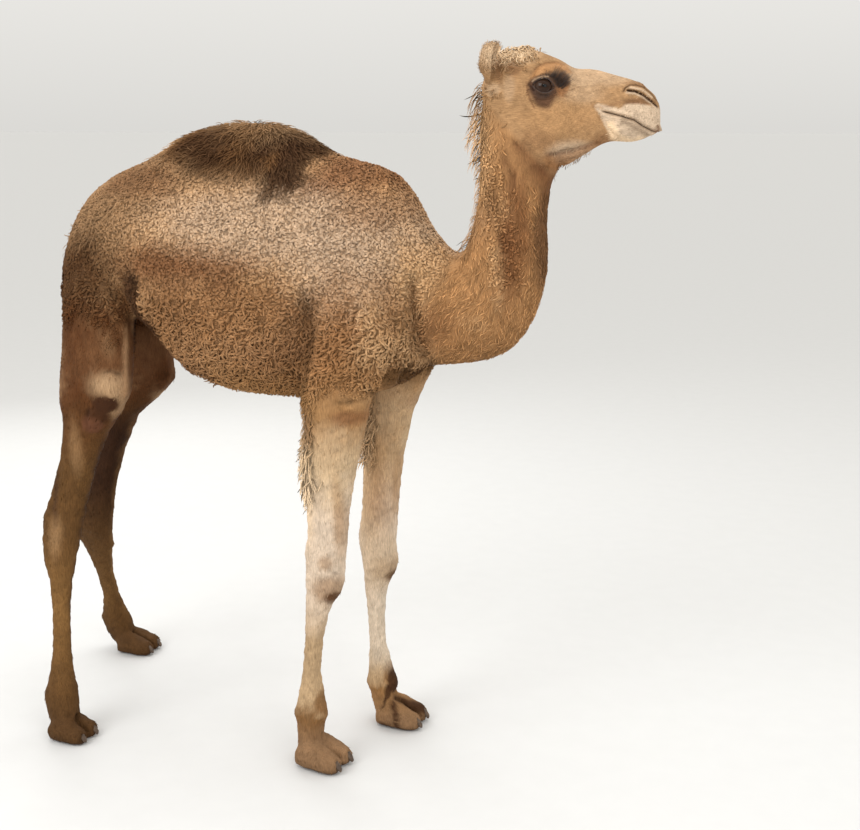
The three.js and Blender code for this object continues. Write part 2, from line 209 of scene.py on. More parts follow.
NECK_LINE = Path(NECK.outside([[-0.085, 0, 1.235], [0.060, 0, 1.190], [0.170, 0, 1.175], [0.225, 0, 1.240],
                               [0.248, 0, 1.330], [0.253, 0, 1.450], [0.262, 0, 1.560], [0.278, 0, 1.660]]))
TAIL_LINE = Path(np.array([[-0.690, 0.011, 1.29], [-0.715, 0.021, 1.19], [-0.720, 0.027, 1.05],
                           [-0.716, 0.033, 0.87]]))


@dataclass
class Parts:
    """How far each point belongs to the head, neck, legs, tail and hump; what is left is the trunk."""

    head: np.ndarray
    neck: np.ndarray
    leg: np.ndarray
    tail: np.ndarray
    hump: np.ndarray

    @classmethod
    def of(cls, points: np.ndarray) -> "Parts":
        """The parts at some points.

        Args:
            points: places in the row's frame.

        Returns:
            How far each point belongs to each part.
        """
        u, _, w = HEAD.inside(points).T
        head = rise(-0.012, 0.016, (u + w + 0.058) / math.sqrt(2))
        x, _, z = NECK.inside(points).T
        ahead = x - 0.055 - 0.5 * np.clip(z - 1.2, 0, 0.13)
        neck = rise(-0.03, 0.05, ahead) * rise(0.93, 0.97, z) * (1 - head)
        behind, _, _ = TAIL_LINE.nearest(points)
        tail = rise(0.052, 0.034, behind) * rise(-0.68, -0.70, points[:, 0]) * rise(1.25, 1.2, points[:, 2])
        low = np.where(points[:, 0] > -0.2, 0.93, 0.98)
        leg = rise(0.05, -0.03, points[:, 2] - low) * (1 - tail)
        along, up = points[:, 0] + 0.12, points[:, 2] - 1.63
        hump = rise(1.25, 0.80, (along / 0.235) ** 2 + (up / 0.145) ** 2) * (points[:, 2] > 1.3)
        hump = np.maximum(hump, hill(np.hypot(along - 0.13, up + 0.14), 0.040)) * (1 - neck) * (1 - head)
        return cls(head, neck, leg, tail, hump)


# ---- meshes as arrays ---------------------------------------------------------------------------


def column(items: Any, name: str, width: int, kind: type = np.float32) -> np.ndarray:
    """One property of many Blender items.

    Args:
        items: the items.
        name: the property.
        width: how many numbers each item has.
        kind: the numbers' type.

    Returns:
        An array with a row for each item.
    """
    values = np.empty(len(items) * width, kind)
    items.foreach_get(name, values)
    return values.reshape(-1, width) if width > 1 else values


def vertices_of(mesh: bpy.types.Mesh) -> np.ndarray:
    """The mesh's vertices."""
    return column(mesh.vertices, "co", 3).astype(float)


def normals_of(mesh: bpy.types.Mesh) -> np.ndarray:
    """The mesh's smooth vertex normals."""
    return column(mesh.vertex_normals, "vector", 3).astype(float)


def edges_of(mesh: bpy.types.Mesh) -> np.ndarray:
    """The mesh's edges, as pairs of vertices."""
    return column(mesh.edges, "vertices", 2, np.int32)


def put_vertices(mesh: bpy.types.Mesh, points: np.ndarray) -> None:
    """Moves the mesh's vertices."""
    mesh.vertices.foreach_set("co", points.astype(np.float32).ravel())
    mesh.update()


def put_attribute(mesh: bpy.types.Mesh, name: str, values: np.ndarray) -> None:
    """Stores a value for each vertex.

    Args:
        mesh: the mesh.
        name: the value's name.
        values: one number, or one vector, for each vertex.
    """
    kind, key = ("FLOAT", "value") if values.ndim == 1 else ("FLOAT_VECTOR", "vector")
    found = mesh.attributes.get(name)
    made = found if found else mesh.attributes.new(name, kind, "POINT")
    made.data.foreach_set(key, values.astype(np.float32).ravel())


def relaxed(points: np.ndarray, edges: np.ndarray, share: np.ndarray, rounds: int) -> np.ndarray:
    """Points drawn towards the middle of their neighbours.

    Args:
        points: the points.
        edges: pairs of neighbours.
        share: how far each point is drawn in one round.
        rounds: how many rounds there are.

    Returns:
        The new points.
    """
    count = len(points)
    both = np.concatenate([edges, edges[:, ::-1]])
    weight = np.maximum(np.bincount(both[:, 0], minlength=count), 1)
    points = points.copy()
    for _ in range(rounds):
        middle = np.stack(
            [np.bincount(both[:, 0], points[both[:, 1], k], count) for k in range(3)], axis=1
        ) / weight[:, None]
        points += share[:, None] * (middle - points)
    return points


def new_object(name: str, mesh: bpy.types.Mesh) -> bpy.types.Object:
    """Puts an object at the origin that shows a mesh.

    Args:
        name: its name.
        mesh: the mesh.

    Returns:
        The object.
    """
    made = bpy.data.objects.new(name, mesh)
    bpy.context.scene.collection.objects.link(made)
    return made


def mesh_of(name: str, points: np.ndarray, faces: Sequence[Sequence[int]]) -> bpy.types.Mesh:
    """A smooth-shaded mesh.

    Args:
        name: its name.
        points: its vertices.
        faces: its faces.

    Returns:
        The mesh.
    """
    mesh = bpy.data.meshes.new(name)
    mesh.from_pydata([tuple(p) for p in points], [], [tuple(f) for f in faces])
    mesh.polygons.foreach_set("use_smooth", np.ones(len(mesh.polygons), bool))
    mesh.update()
    return mesh


def evaluated(shown: bpy.types.Object) -> bpy.types.Mesh:
    """What an object's modifiers make.

    Args:
        shown: the object.

    Returns:
        A plain mesh.
    """
    depsgraph = bpy.context.evaluated_depsgraph_get()
    return bpy.data.meshes.new_from_object(
        shown.evaluated_get(depsgraph), preserve_all_data_layers=True, depsgraph=depsgraph
    )


def discard(*objects: bpy.types.Object) -> None:
    """Takes helpers away, with their meshes.

    Args:
        objects: the helper objects.
    """
    for gone in objects:
        mesh = gone.data
        bpy.data.objects.remove(gone)
        bpy.data.meshes.remove(mesh)


class Slot(Enum):
    """Material slots, one of which each coat piece names."""

    SHORT = "short_coat"
    NECK = "neck_coat"
    CURLED = "curled_coat"
    HUMP = "hump_coat"
    LEG = "leg_coat"
    CLAW = "claw"
    EYE = "eye"


def finished(
    piece: bpy.types.Object, material: bpy.types.Material | None = None
) -> bpy.types.Object:
    """Dresses a piece, lets it ride on the body, and reports it.

    Args:
        piece: the piece.
        material: its material, if it has none yet.

    Returns:
        The piece.
    """
    if material:
        piece.data.materials.clear()
        piece.data.materials.append(material)
    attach(piece, "root")
    triangles = len(piece.data.loops) - 2 * len(piece.data.polygons)
    LOG.info("%s: %d triangles", piece.name, triangles)
    return piece


# ---- node graphs --------------------------------------------------------------------------------


class Graph:
    """Adds nodes to a tree, and joins or sets their sockets."""

    def __init__(self, tree: bpy.types.NodeTree) -> None:
        """Works on this tree."""
        self.tree = tree

    def add(self, kind: str, inputs: dict[str | int, Any] | None = None, **settings: Any) -> bpy.types.Node:
        """Adds one node.

        Args:
            kind: the node's type.
            inputs: what each input gets, by name or number: a socket to join, or a value.
            settings: the node's own settings.

        Returns:
            The node.
        """
        node = self.tree.nodes.new(kind)
        for name, value in settings.items():
            setattr(node, name, value)
        for key, value in (inputs or {}).items():
            self.feed(node.inputs[key], value)
        return node

    def feed(self, socket: bpy.types.NodeSocket, value: Any) -> None:
        """Gives an input its value.

        Args:
            socket: the input.
            value: a socket to join to it, or the value to set.
        """
        if isinstance(value, bpy.types.NodeSocket):
            self.tree.links.new(value, socket)
        else:
            socket.default_value = value

    def math(self, operation: str, *values: Any, clamp: bool = False) -> bpy.types.NodeSocket:
        """One sum on numbers."""
        inputs = dict(enumerate(values))
        return self.add("ShaderNodeMath", inputs, operation=operation, use_clamp=clamp).outputs[0]

    def vector(self, operation: str, *values: Any) -> bpy.types.NodeSocket:
        """One sum on vectors.

        Args:
            operation: which sum.
            values: what goes in; the second of SCALE is a number.

        Returns:
            The result: a vector, or a number for DOT_PRODUCT and LENGTH.
        """
        node = self.add("ShaderNodeVectorMath", operation=operation)
        for i, value in enumerate(values):
            self.feed(node.inputs["Scale"] if operation == "SCALE" and i == 1 else node.inputs[i], value)
        return node.outputs["Value"] if operation in ("DOT_PRODUCT", "LENGTH") else node.outputs["Vector"]

    def total(self, *values: Any) -> bpy.types.NodeSocket:
        """The sum of several vectors.

        Args:
            values: the vectors.

        Returns:
            Their sum.
        """
        result = values[0]
        for value in values[1:]:
            result = self.vector("ADD", result, value)
        return result


class ShaderGraph(Graph):
    """Nodes of a material."""

    def __init__(self, name: str) -> None:
        """Starts a material that holds one Principled shader.

        Args:
            name: the material's name.
        """
        self.material = bpy.data.materials.new(name)
        self.material.use_nodes = True
        super().__init__(self.material.node_tree)
        self.shader = self.tree.nodes["Principled BSDF"]

    def set(self, **values: Any) -> None:
        """Sets sockets of the shader; a word's underscores stand for spaces."""
        for name, value in values.items():
            self.feed(self.shader.inputs[name.replace("_", " ")], value)

    def attribute(self, name: str, output: str = "Fac") -> bpy.types.NodeSocket:
        """A value that the mesh carries."""
        return self.add("ShaderNodeAttribute", attribute_name=name).outputs[output]

    def position(self, scale: Sequence[float] = (1, 1, 1)) -> bpy.types.NodeSocket:
        """Object coordinates, stretched by `scale`."""
        place = self.add("ShaderNodeTexCoord").outputs["Object"]
        return self.add("ShaderNodeMapping", {"Vector": place, "Scale": scale}).outputs["Vector"]

    def noise(
        self, place: Any, scale: float, detail: float = 2.0, rough: float = 0.5
    ) -> bpy.types.NodeSocket:
        """Noise from 0 to 1."""
        inputs = {"Vector": place, "Scale": scale, "Detail": detail, "Roughness": rough}
        return self.add("ShaderNodeTexNoise", inputs).outputs["Fac"]

    def between(
        self, value: Any, low: float, high: float, start: float, end: float
    ) -> bpy.types.NodeSocket:
        """A value from `low`..`high` carried over to `start`..`end`, and held there."""
        inputs = {0: value, 1: low, 2: high, 3: start, 4: end}
        return self.add("ShaderNodeMapRange", inputs, clamp=True).outputs[0]

    def mix(self, share: Any, first: Any, second: Any, blend: str = "MIX") -> bpy.types.NodeSocket:
        """Two colours mixed.

        Args:
            share: how much of the second shows.
            first: a colour or a socket.
            second: a colour or a socket.
            blend: how they are mixed.

        Returns:
            The mixed colour.
        """
        node = self.add("ShaderNodeMix", data_type="RGBA", blend_type=blend)
        self.feed(node.inputs["Factor"], share)
        self.feed(node.inputs[6], first if isinstance(first, bpy.types.NodeSocket) else (*first, 1.0))
        self.feed(node.inputs[7], second if isinstance(second, bpy.types.NodeSocket) else (*second, 1.0))
        return node.outputs[2]

    def bump(
        self, height: Any, distance: float, strength: float = 1.0, under: Any = None
    ) -> bpy.types.NodeSocket:
        """A bumped normal.

        Args:
            height: the relief.
            distance: how high it is.
            strength: how much of it shows.
            under: the normal that it starts from.

        Returns:
            The normal.
        """
        node = self.add("ShaderNodeBump", {"Height": height, "Distance": distance, "Strength": strength})
        if under is not None:
            self.feed(node.inputs["Normal"], under)
        return node.outputs["Normal"]


# ---- finishes -----------------------------------------------------------------------------------


@dataclass(frozen=True)
class HairFinish:
    """Solid locks of hair that take their colour from the skin under their roots, with painted shade towards
    the root.

    Fields:
        name: the material's name.
        root_shade, tip_shade: how light the lock is at its root and at its tip; the dark root is painted
            shade, as if the coat shaded it.
        tone_spread: how much locks differ in lightness.
        strands: how many strands show round a lock.
        strand_contrast: how much they differ in lightness.
        root_warmth: how much blue is left in the painted shade at the root; less is warmer.
        roughness: the hair's roughness.
        softness: how far locks are lit as the skin under them is.
        crimp: how far the strands wave.
    """

    name: str
    root_shade: float = 0.45
    tip_shade: float = 1.12
    tone_spread: float = 0.22
    strands: float = 9.0
    strand_contrast: float = 0.3
    root_warmth: float = 0.75
    roughness: float = 0.75
    softness: float = 0.55
    crimp: float = 0.0
    wave_turns: float = 22.0  # how far the crimp's wave runs from root to tip, in radians

    def material(self) -> bpy.types.Material:
        """Makes the material of one kind of hair.

        Returns:
            The material.
        """
        g = ShaderGraph(self.name)
        own = g.vector("SCALE", g.add("ShaderNodeTexCoord").outputs["Normal"], 1 - self.softness)
        common = g.vector("SCALE", g.attribute(UPRIGHT, "Vector"), self.softness)
        facing = g.vector("NORMALIZE", g.vector("ADD", own, common))
        tip, tone = g.attribute(TIP), g.attribute(TONE)
        wave = g.math("SINE", g.math("MULTIPLY_ADD", tip, self.wave_turns, g.math("MULTIPLY", tone, 40.0)))
        round_lock = g.math("MULTIPLY", g.attribute(ROUND), self.strands)
        turned = g.math("MULTIPLY_ADD", wave, self.crimp, round_lock)
        inputs = {0: g.math("MULTIPLY", tip, 1.6), 1: turned, 2: g.math("MULTIPLY", tone, 91.0)}
        place = g.add("ShaderNodeCombineXYZ", inputs).outputs[0]
        strand = g.noise(place, 1.0, 2.0, 0.6)
        # painted shade along the lock: dark at the root, as if the coat shaded it, and light at the tip
        depth = g.between(tip, 0.0, 0.65, self.root_shade, self.tip_shade)
        shade = g.math("MULTIPLY", depth, g.between(tone, 0, 1, 1 - self.tone_spread, 1 + self.tone_spread))
        streak = g.between(strand, 0.3, 0.7, 1 - self.strand_contrast, 1 + self.strand_contrast)
        shade = g.math("MULTIPLY", shade, streak)
        # the painted shade at the root is tinted warm
        warmth = (1.0, 0.55 + 0.45 * self.root_warmth, self.root_warmth)
        tint = g.mix(g.between(tip, 0.0, 0.7, 0, 1), warmth, (1.0, 1.0, 1.0))
        colour = g.vector("MULTIPLY", g.vector("SCALE", g.attribute(COLOUR, "Vector"), shade), tint)
        g.set(Base_Color=colour, Roughness=self.roughness, Specular_IOR_Level=0.04)
        g.set(Normal=g.bump(strand, 0.0010, 0.6, facing))
        return g.material


@dataclass(frozen=True)
class SkinFinish:
    """The skin: its markings, with fine lying hair as colour streaks and bump, and painted shade between the
    coat's locks.

    Fields:
        name: the material's name.
        hair, blotch, curl, pore: how fine each pattern is, as its noise's scale.
        stretch: how much longer than wide the hair's streaks are, as its inverse.
    """

    name: str = "skin_with_short_hair"
    hair: float = 420.0
    blotch: float = 38.0
    curl: float = 125.0
    pore: float = 900.0
    stretch: float = 0.12

    def material(self) -> bpy.types.Material:
        """Makes the skin's material.

        Returns:
            The material.
        """
        g = ShaderGraph(self.name)
        down = g.noise(g.position((1, 1, self.stretch)), self.hair, 3.0, 0.6)
        along = g.noise(g.position((self.stretch, 1, 1)), self.hair, 3.0, 0.6)
        forward = g.attribute("level_hair")
        hair = g.math("ADD", g.math("MULTIPLY", along, forward),
                      g.math("MULTIPLY", down, g.math("SUBTRACT", 1.0, forward)))
        blotch = g.noise(g.position(), self.blotch, 3.0, 0.6)
        streaks = g.between(hair, 0.3, 0.7, 0.72, 1.22)
        shade = g.math("MULTIPLY", streaks, g.between(blotch, 0.25, 0.75, 0.9, 1.08))
        bare = g.attribute("bare")
        shade = g.math("ADD", g.math("MULTIPLY", shade, g.math("SUBTRACT", 1.0, bare)), bare)
        # painted shade between the coat's locks, darkest under the wool; where it is darkest, the skin lies
        # under wool
        under = g.attribute("under_coat")
        wool = g.between(under, 0.75, 0.80, 1, 0)
        inputs = {"Vector": g.position(), "Scale": self.curl, "Detail": 1.5, "Distortion": 1.6}
        curl = g.add("ShaderNodeTexNoise", inputs).outputs["Fac"]
        # under the wool, painted shade and light in a pattern like curls lying deeper
        curled = g.math("MULTIPLY_ADD", wool, g.between(curl, 0.36, 0.64, -0.30, 0.20), 1.0)
        shade = g.math("MULTIPLY", shade, curled)
        # the painted shade under the coat is tinted warm
        tint = g.mix(g.between(under, 0.5, 0.95, 0, 1), (1.0, 0.90, 0.78), (1.0, 1.0, 1.0))
        shade = g.math("MULTIPLY", shade, under)
        colour = g.vector("MULTIPLY", g.vector("SCALE", g.attribute(COLOUR, "Vector"), shade), tint)
        pores = g.noise(g.position(), self.pore, 2.0, 0.5)
        height = g.math("ADD", g.math("MULTIPLY", hair, g.math("SUBTRACT", 1.0, bare)),
                        g.math("MULTIPLY", pores, g.math("MULTIPLY", bare, 0.4)))
        relief = g.bump(g.math("MULTIPLY", curl, wool), 0.006, 0.9)
        g.set(Base_Color=colour, Normal=g.bump(height, 0.0016, 0.8, relief))
        g.set(Roughness=g.between(bare, 0, 1, 0.75, 0.55), Specular_IOR_Level=0.08)
        return g.material


@dataclass(frozen=True)
class EyeFinish:
    """A wet dark brown eye with a level pupil."""

    name: str = "wet_eye"
    fibre: float = 1600.0

    def material(self) -> bpy.types.Material:
        """Makes the eyeball's material.

        Returns:
            The material.
        """
        g = ShaderGraph(self.name)
        fibres = g.noise(g.position(), self.fibre, 2.0)
        iris = g.mix(g.between(fibres, 0.3, 0.7, 0, 1), linear(26, 15, 9), linear(58, 36, 22))
        white = g.mix(g.between(g.attribute("from_iris"), 0.92, 1.08, 0, 1), iris, linear(58, 42, 34))
        colour = g.mix(g.between(g.attribute("from_pupil"), 0.85, 1.05, 1, 0), white, (0.002, 0.002, 0.002))
        g.set(Base_Color=colour, Roughness=0.02, Specular_IOR_Level=0.18)
        return g.material


@dataclass(frozen=True)
class RimFinish:
    """The dark moist edge of the lids."""

    name: str = "lid_rim"
    spot: float = 700.0

    def material(self) -> bpy.types.Material:
        """Makes the rim's material.

        Returns:
            The material.
        """
        g = ShaderGraph(self.name)
        spots = g.noise(g.position(), self.spot, 3.0)
        g.set(Base_Color=g.mix(spots, linear(38, 26, 22), linear(70, 50, 42)))
        g.set(Roughness=0.32, Normal=g.bump(spots, 0.0006, 0.6))
        return g.material


@dataclass(frozen=True)
class LashFinish:
    """Black-brown lashes."""

    name: str = "lashes"

    def material(self) -> bpy.types.Material:
        """Makes the lashes' material.

        Returns:
            The material.
        """
        g = ShaderGraph(self.name)
        tone = g.noise(g.position(), 300.0)
        g.set(Base_Color=g.mix(tone, linear(24, 15, 10), linear(64, 42, 28)), Roughness=0.5)
        return g.material


@dataclass(frozen=True)
class HornFinish:
    """Dull dark horn with growth lines."""

    name: str = "dull_horn"
    line: float = 260.0
    dirt: float = 90.0

    def material(self) -> bpy.types.Material:
        """Makes the claws' material.

        Returns:
            The material.
        """
        g = ShaderGraph(self.name)
        lines = g.noise(g.position((3.0, 0.4, 0.4)), self.line, 3.0)
        dirt = g.noise(g.position(), self.dirt, 4.0)
        colour = g.mix(lines, linear(52, 37, 27), linear(84, 64, 46))
        colour = g.mix(g.between(dirt, 0.5, 0.75, 0, 0.6), colour, linear(128, 104, 80))
        g.set(Base_Color=colour, Roughness=g.between(dirt, 0.3, 0.7, 0.42, 0.65))
        g.set(Normal=g.bump(lines, 0.0008, 0.7))
        return g.material


# ---- locks of hair ------------------------------------------------------------------------------


@dataclass(frozen=True)
class Lock:
    """One kind of lock.

    Fields:
        spacing: the least distance between two roots.
        length: how long it is.
        width: how wide it is where it is widest.
        flat: its thickness as a share of its width.
        vary: how much lengths differ, as a share.
        lift: how high its middle bows off the skin, as a share of its length.
        stand: how high its tip stands off the skin, as a share of its length.
        spread: how far single locks turn from the lie, in radians.
        swirl: how far whole patches of locks turn from the lie, in radians.
        patch: how large such a patch is.
        bend: how far a lock turns sideways in its own length, in radians.
        coil: the radius of its corkscrew.
        turns: how often it goes round in its own length.
        sag: how far its tip hangs down, as a share of its length.
        sink: how deep its root sits in the skin.
        rings: how many rings of points make it.
        seed: what its random values start from.
    """

    spacing: float
    length: float
    width: float
    flat: float = 0.45
    vary: float = 0.3
    lift: float = 0.10
    stand: float = 0.04
    spread: float = 0.30
    swirl: float = 0.0
    patch: float = 0.05
    bend: float = 0.4
    coil: float = 0.0
    turns: float = 0.0
    sag: float = 0.0
    sink: float = 0.0012
    rings: int = 6
    seed: int = 1


class LockTree(Graph):
    """A Geometry Nodes tree that grows closed locks of hair from a skin.

    The skin carries, for each vertex, `lie` (the way the hair lies), `cover` (how thick it grows, 0 to 1)
    and `grow` (how long it is, as a share). Each lock keeps its root's place and colour.
    """

    CORNERS = 3

    def __init__(self) -> None:
        """Makes the tree with one input for each size of a lock."""
        super().__init__(bpy.data.node_groups.new("grow_locks", "GeometryNodeTree"))
        face = self.tree.interface
        face.new_socket("Skin", in_out="INPUT", socket_type="NodeSocketGeometry")
        for name, value in vars(Lock(1, 1, 1)).items():
            whole = isinstance(value, int) and name in ("rings", "seed")
            kind = "NodeSocketInt" if whole else "NodeSocketFloat"
            face.new_socket(name, in_out="INPUT", socket_type=kind)
        face.new_socket("hair", in_out="INPUT", socket_type="NodeSocketMaterial")
        face.new_socket("Locks", in_out="OUTPUT", socket_type="NodeSocketGeometry")
        self.given = self.tree.nodes.new("NodeGroupInput").outputs
        locks = self.shaped(self.centre_lines(self.planted(self.given["Skin"])))
        realized = self.add("GeometryNodeRealizeInstances", {"Geometry": locks}).outputs[0]
        smooth = self.add("GeometryNodeSetShadeSmooth", {"Geometry": realized}).outputs[0]
        inputs = {"Geometry": smooth, "Material": self.given["hair"]}
        self.add("NodeGroupOutput", {"Locks": self.add("GeometryNodeSetMaterial", inputs).outputs[0]})

    def read(self, name: str, kind: str = "FLOAT") -> bpy.types.NodeSocket:
        """A named value of the geometry."""
        found = self.add("GeometryNodeInputNamedAttribute", {"Name": name}, data_type=kind)
        return found.outputs["Attribute"]

    def store(self, geometry: Any, name: str, value: Any, kind: str = "FLOAT") -> bpy.types.NodeSocket:
        """Writes a named value onto each point.

        Args:
            geometry: the points' geometry.
            name: the value's name.
            value: the value.
            kind: the value's type.

        Returns:
            The geometry with the value.
        """
        inputs = {"Geometry": geometry, "Name": name, "Value": value}
        node = self.add("GeometryNodeStoreNamedAttribute", inputs, data_type=kind, domain="POINT")
        return node.outputs[0]

    def chance(self, salt: int) -> bpy.types.NodeSocket:
        """A random number from 0 to 1 that is the same along one lock.

        Args:
            salt: a number of its own for each use.

        Returns:
            The number.
        """
        seed = self.math("ADD", self.given["seed"], float(salt))
        inputs = {"ID": self.read("lock"), "Seed": seed}
        return self.add("FunctionNodeRandomValue", inputs, data_type="FLOAT").outputs[1]

    def either_way(self, salt: int) -> bpy.types.NodeSocket:
        """A random number from -1 to 1 that is the same along one lock."""
        return self.math("MULTIPLY_ADD", self.chance(salt), 2.0, -1.0)

    def planted(self, skin: Any) -> bpy.types.NodeSocket:
        """Puts a straight line of points at each root; the roots keep their distance.

        Args:
            skin: the skin's geometry.

        Returns:
            The lines.
        """
        spacing = self.given["spacing"]
        most = self.math("DIVIDE", 8.0, self.math("MULTIPLY", spacing, spacing))
        inputs = {"Mesh": skin, "Distance Min": spacing, "Density Max": most,
                  "Density Factor": self.read("cover"), "Seed": self.given["seed"]}
        spread = self.add("GeometryNodeDistributePointsOnFaces", inputs, distribute_method="POISSON")
        points = self.store(spread.outputs["Points"], UPRIGHT, spread.outputs["Normal"], "FLOAT_VECTOR")
        points = self.store(points, ROOT, self.add("GeometryNodeInputPosition").outputs[0], "FLOAT_VECTOR")
        points = self.store(points, "lock", self.add("GeometryNodeInputIndex").outputs[0])
        points = self.store(points, TONE, self.chance(11))
        line = self.add("GeometryNodeCurvePrimitiveLine", {"End": (0.01, 0, 0)}).outputs[0]
        inputs = {"Curve": line, "Count": self.given["rings"]}
        line = self.add("GeometryNodeResampleCurve", inputs).outputs[0]
        placed = self.add("GeometryNodeInstanceOnPoints", {"Points": points, "Instance": line}).outputs[0]
        return self.add("GeometryNodeRealizeInstances", {"Geometry": placed}).outputs[0]

    def directions(self) -> tuple[Any, Any, Any]:
        """The directions of a lock.

        Returns:
            The way it lies, the way across it, and the way off the skin.
        """
        upright, lie = self.read(UPRIGHT, "FLOAT_VECTOR"), self.read(LIE, "FLOAT_VECTOR")
        inward = self.math("MINIMUM", self.vector("DOT_PRODUCT", upright, lie), 0.0)
        lie = self.vector("NORMALIZE", self.vector("SUBTRACT", lie, self.vector("SCALE", upright, inward)))
        across = self.vector("NORMALIZE", self.vector("CROSS_PRODUCT", upright, lie))
        noise = self.add("ShaderNodeTexNoise", {"Vector": self.read(ROOT, "FLOAT_VECTOR"), "Detail": 1.0,
                                                "Scale": self.math("DIVIDE", 1.0, self.given["patch"])})
        patch = self.math("MULTIPLY_ADD", noise.outputs["Fac"], 4.0, -2.0)
        turn = self.math("ADD", self.math("MULTIPLY", patch, self.given["swirl"]),
                         self.math("MULTIPLY", self.either_way(1), self.given["spread"]))
        lie_turned = self.vector("ADD", self.vector("SCALE", lie, self.math("COSINE", turn)),
                                 self.vector("SCALE", across, self.math("SINE", turn)))
        off = self.vector("CROSS_PRODUCT", lie, across)
        return lie_turned, self.vector("CROSS_PRODUCT", off, lie_turned), off

    def centre_lines(self, lines: Any) -> bpy.types.NodeSocket:
        """Bends the straight lines into the middle lines of locks.

        Args:
            lines: the straight lines.

        Returns:
            The bent lines.
        """
        given, calc = self.given, self.math
        t = self.add("GeometryNodeSplineParameter").outputs["Factor"]
        along, across, off = self.directions()
        length = calc("MULTIPLY", given["length"], self.read("grow"))
        length = calc("MULTIPLY", length, calc("MULTIPLY_ADD", self.either_way(2), given["vary"], 1.0))
        way = calc("SIGN", calc("ADD", self.either_way(3), 0.01))
        bend = calc("MULTIPLY", given["bend"], calc("MULTIPLY_ADD", self.chance(4), 0.5, 0.5))
        bend = calc("ADD", calc("MULTIPLY", bend, way), 0.003)
        turned = calc("MULTIPLY", bend, t)
        radius = calc("DIVIDE", length, bend)
        forward = calc("MULTIPLY", radius, calc("SINE", turned))
        sideways = calc("MULTIPLY", radius, calc("SUBTRACT", 1.0, calc("COSINE", turned)))
        coil = calc("MULTIPLY", given["coil"], calc("MULTIPLY", t, 3.0, clamp=True))
        coil = calc("MULTIPLY", coil, calc("MULTIPLY_ADD", self.chance(5), 0.8, 0.5))
        start = calc("MULTIPLY", self.chance(6), 2 * math.pi)
        angle = calc("MULTIPLY_ADD", calc("MULTIPLY", given["turns"], 2 * math.pi), t, start)
        sideways = calc("MULTIPLY_ADD", coil, calc("COSINE", angle), sideways)
        bow = calc("MULTIPLY", given["lift"], calc("SINE", calc("MULTIPLY", t, math.pi)))
        height = calc("MULTIPLY", length, calc("ADD", bow, calc("MULTIPLY", given["stand"], t)))
        height = calc("ADD", height, calc("MULTIPLY", coil, calc("ADD", calc("SINE", angle), 0.8)))
        height = calc("SUBTRACT", height, given["sink"])
        sag = calc("MULTIPLY", calc("MULTIPLY", length, given["sag"]), calc("MULTIPLY", t, t))
        place = self.total(
            self.read(ROOT, "FLOAT_VECTOR"), self.vector("SCALE", along, forward),
            self.vector("SCALE", across, sideways), self.vector("SCALE", off, height),
            self.add("ShaderNodeCombineXYZ", {2: calc("MULTIPLY", sag, -1.0)}).outputs[0],
        )
        moved = self.add("GeometryNodeSetPosition", {"Geometry": lines, "Position": place}).outputs[0]
        facing = self.add("GeometryNodeSetCurveNormal", {"Curve": moved}, mode="FREE")
        self.feed(facing.inputs["Normal"], off)
        return self.store(facing.outputs[0], TIP, t)

    def shaped(self, lines: Any) -> bpy.types.NodeSocket:
        """Wraps closed three-cornered locks round the lines, thin at the tip.

        Args:
            lines: the middle lines.

        Returns:
            The locks.
        """
        inputs = {"Resolution": self.CORNERS, "Radius": 0.5}
        ring = self.add("GeometryNodeCurvePrimitiveCircle", inputs).outputs[0]
        index = self.add("GeometryNodeInputIndex").outputs[0]
        ring = self.store(ring, ROUND, self.math("DIVIDE", index, float(self.CORNERS)))
        squeeze = self.add("ShaderNodeCombineXYZ", {0: self.given["flat"], 1: 1.0, 2: 1.0}).outputs[0]
        ring = self.add("GeometryNodeTransform", {"Geometry": ring, "Scale": squeeze}).outputs[0]
        t = self.read(TIP)
        taper = self.math("MULTIPLY", self.math("SUBTRACT", 1.0, self.math("POWER", t, 3.0)),
                          self.math("MULTIPLY_ADD", t, 0.7, 0.6))
        grown = self.math("MULTIPLY_ADD", self.chance(7), 0.5, 0.75)
        young = self.math("MULTIPLY_ADD", self.read("grow"), 0.6, 0.4, clamp=True)
        width = self.math("MULTIPLY", self.given["width"], self.math("MULTIPLY", grown, young))
        scale = self.math("MULTIPLY", self.math("ADD", taper, 0.05), width)
        inputs = {"Curve": lines, "Profile Curve": ring, "Scale": scale, "Fill Caps": True}
        return self.add("GeometryNodeCurveToMesh", inputs).outputs[0]


